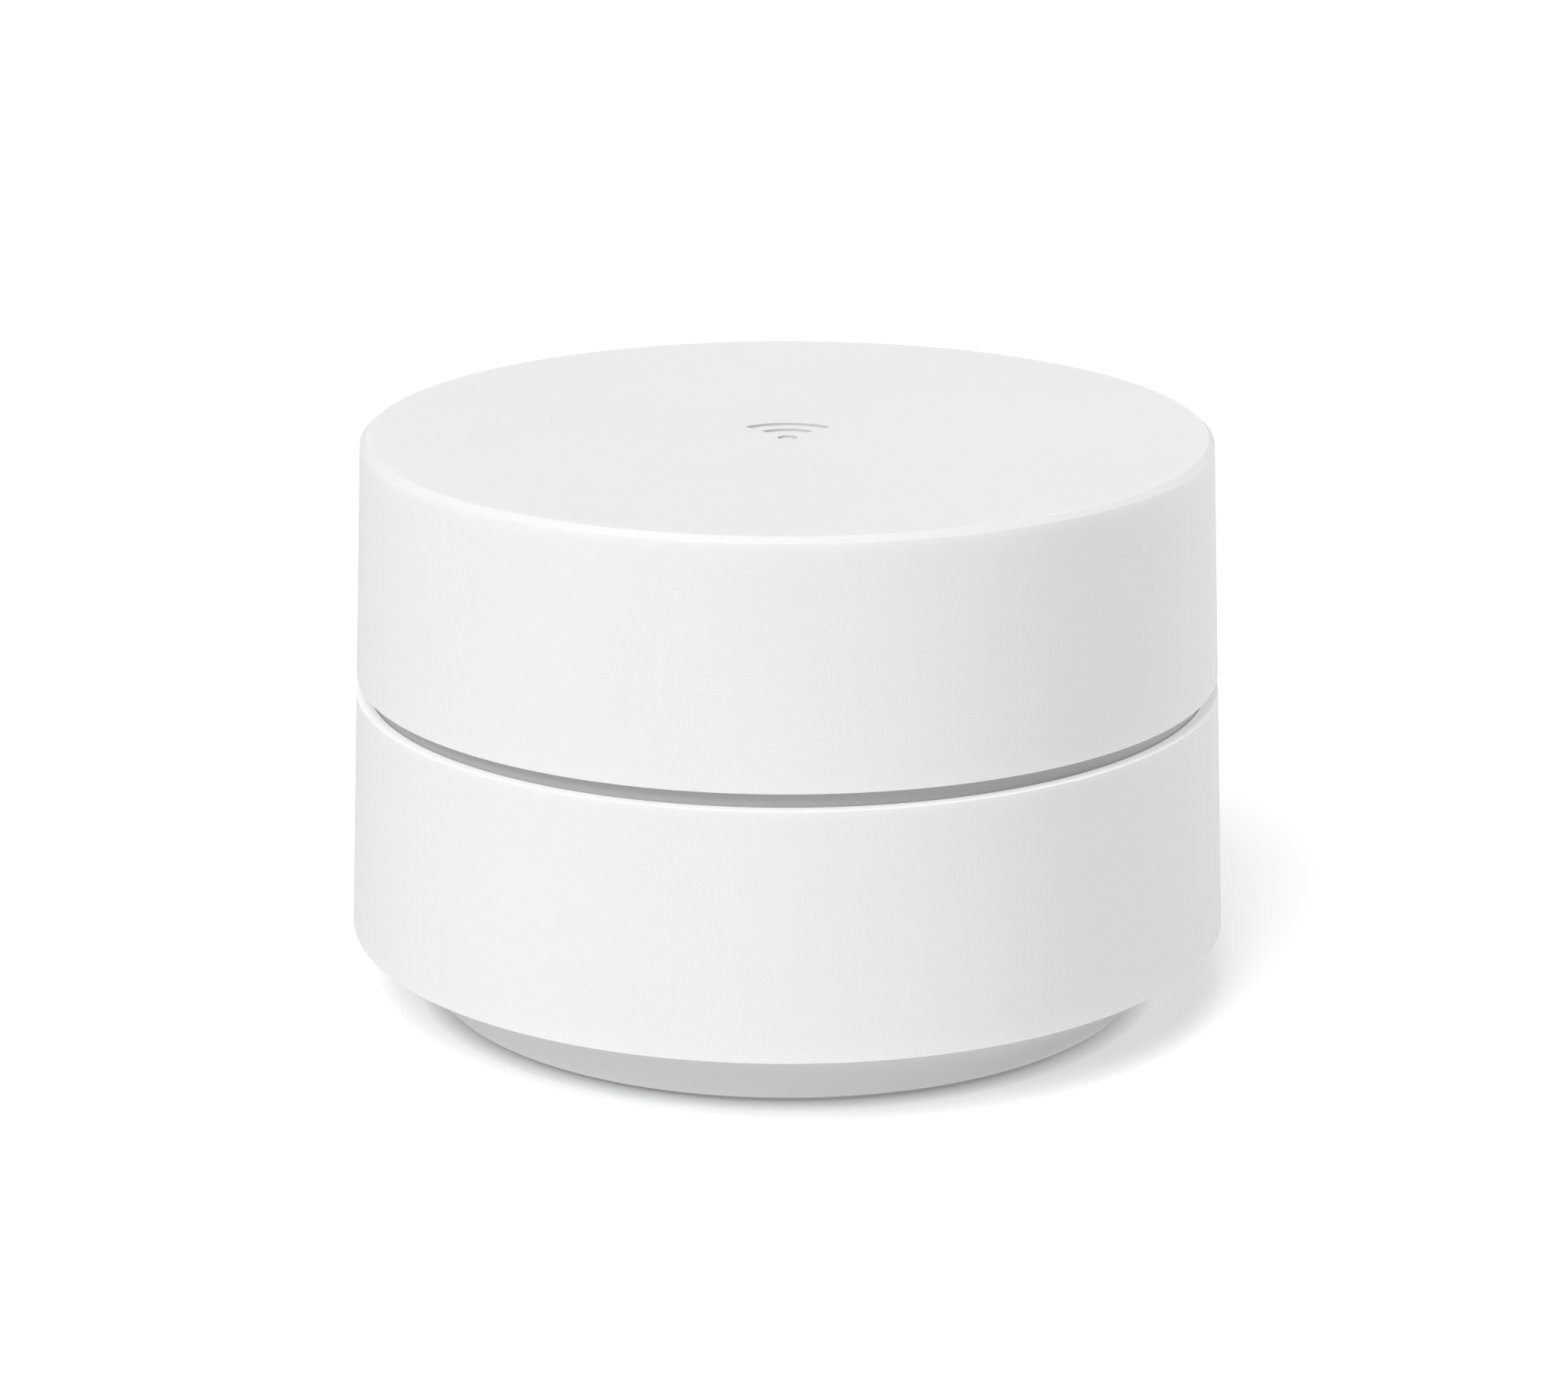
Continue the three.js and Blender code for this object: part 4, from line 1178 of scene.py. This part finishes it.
def coaxLead(name):
    clearSelection()
    bpy.ops.curve.primitive_nurbs_path_add()
    lead = bpy.context.active_object
    lead.name = name
    lead.data.splines.clear()
    spline = lead.data.splines.new("BEZIER")
    spline.bezier_points.add(len(leadRoute) - 1)
    for point, (radius, height) in zip(spline.bezier_points, leadRoute):
        point.co = (radius * mm, 0, height * mm)
        point.handle_left_type = point.handle_right_type = "AUTO"
    lead.data.bevel_depth = antenna["lead"] * mm
    lead.data.bevel_resolution = 4
    lead.data.resolution_u = 8
    lead.data.use_fill_caps = True
    lead.location = (0, 0, 0)
    pick(lead)
    bpy.ops.object.convert(target="MESH")
    fixNormals(lead)
    smooth(lead, 50)
    return lead


lead = coaxLead("coaxLead")
plug = turnRings("coaxPlug", plugRings, 48, (leadRoute[-1][0], 0), closed=False)
finishEdges(plug, 0.08)
for i, angle in enumerate(antenna["angles"]):
    number = str(i + 1)
    for part, name, finish, node, slot in (
            (plateBoard, "antennaBoard", greenBoard, "antenna_", "circuit_board"),
            (arms[0], "antennaCopper", goldPlate, "antenna_", "gold_contact"),
            (lead, "coaxLead", coaxJacket, "antenna_cable_", "coax"),
            (plug, "coaxPlug", goldPlate, "antenna_cable_", "gold_contact")):
        paint(copyTurned(part, name + number, angle), finish, nodes=[node + number])
discard(plateBoard, arms[0], lead, plug)
print("antennas done")

# screws, label and soft pads

screwForm = {
    "headOutline": ((0.55, 1), (0.9, 0.8), (1, 0.35), (1, 0)),  # shares of the head's radius and height
    "plain": 0.25, "pitch": 0.45, "rootAt": 0.22, "root": 0.82, "tip": 0.5, "tipLength": 0.9,
    "recessReach": 0.5, "recessHalf": 0.24, "recessFloor": 0.45,
}


def panScrew(name, headRadius, headHeight, shankRadius, length):
    # the head hangs below z = 0 and the grooved shank goes up
    form = screwForm
    z = length * form["plain"]
    rings = [(headRadius * out, -headHeight * down) for out, down in form["headOutline"]]
    rings += [(shankRadius, 0), (shankRadius, z)]
    while z < length - form["tipLength"]:
        rings += [(shankRadius * form["root"], z + form["rootAt"]), (shankRadius, z + form["pitch"])]
        z += form["pitch"]
    rings += [(shankRadius * form["tip"], length)]
    piece = turnRings(name, rings, 48, closed=False)
    reach, half = headRadius * form["recessReach"], form["recessHalf"]
    for turn in (0, 90):
        cutAway(piece, blockBetween("recess", (-reach, -half, -headHeight - 1),
                                    (reach, half, -headHeight * form["recessFloor"]), turn))
    smooth(piece, 40)
    return piece


# head radius and height, shank radius and length, height of the head's seat
screwSizes = {
    "case": (2.7, 1.7, 1.25, 18.4), "caseSeat": 4.1,
    "frame": (2.6, 1.5, 1.0, 7), "frameSeat": 43.9,
}


def placeScrews(screw, kind, spots):
    for i, spot in enumerate(spots):
        made = copyTo(screw, kind + "Screw" + str(i + 1), (*spot, screwSizes[kind + "Seat"]))
        paint(made, zincScrew, nodes=[kind + "_screw_" + str(i + 1)])
    discard(screw)


placeScrews(panScrew("caseScrew", *screwSizes["case"]), "case", base["screws"])

frameScrew = panScrew("frameScrew", *screwSizes["frame"])
frameScrew.rotation_euler = (math.pi, 0, 0)
bakePlace(frameScrew)
placeScrews(frameScrew, "frame", [polar(angle, sink["columnRadius"]) for angle in sink["columns"]])

label = {"radius": 22, "low": 0.8, "high": 0.95, "y": -8}
ratingLabel = rod("ratingLabel", label["radius"], label["low"], label["high"], (0, label["y"]), 192)
paint(finishEdges(ratingLabel, 0.03, 1), labelFilm, nodes=["rating_label"])

# node, place on X and Y, width, depth, low, high
softPads = [
    ("processor_thermal_pad", 0, -16, 24, 18, 20.6, 21.2),
    ("radio_left_thermal_pad", -27, -4, 10, 14, 20.6, 21.2),
    ("radio_right_thermal_pad", 27, -4, 10, 14, 20.6, 21.2),
    ("power_thermal_pad", 0, -20, 18, 12, 13.3, 13.9),
]
for node, *shape in softPads:
    words = node.split("_")
    pad = slabAt(words[0] + "".join(word.title() for word in words[1:]), *shape)
    paint(finishEdges(pad, 0.2, 3), gapFiller, nodes=[node])

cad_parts["reset_flex"].material_slots[0].material = amberFilm
print("screws, label and pads done")

print("scene built")
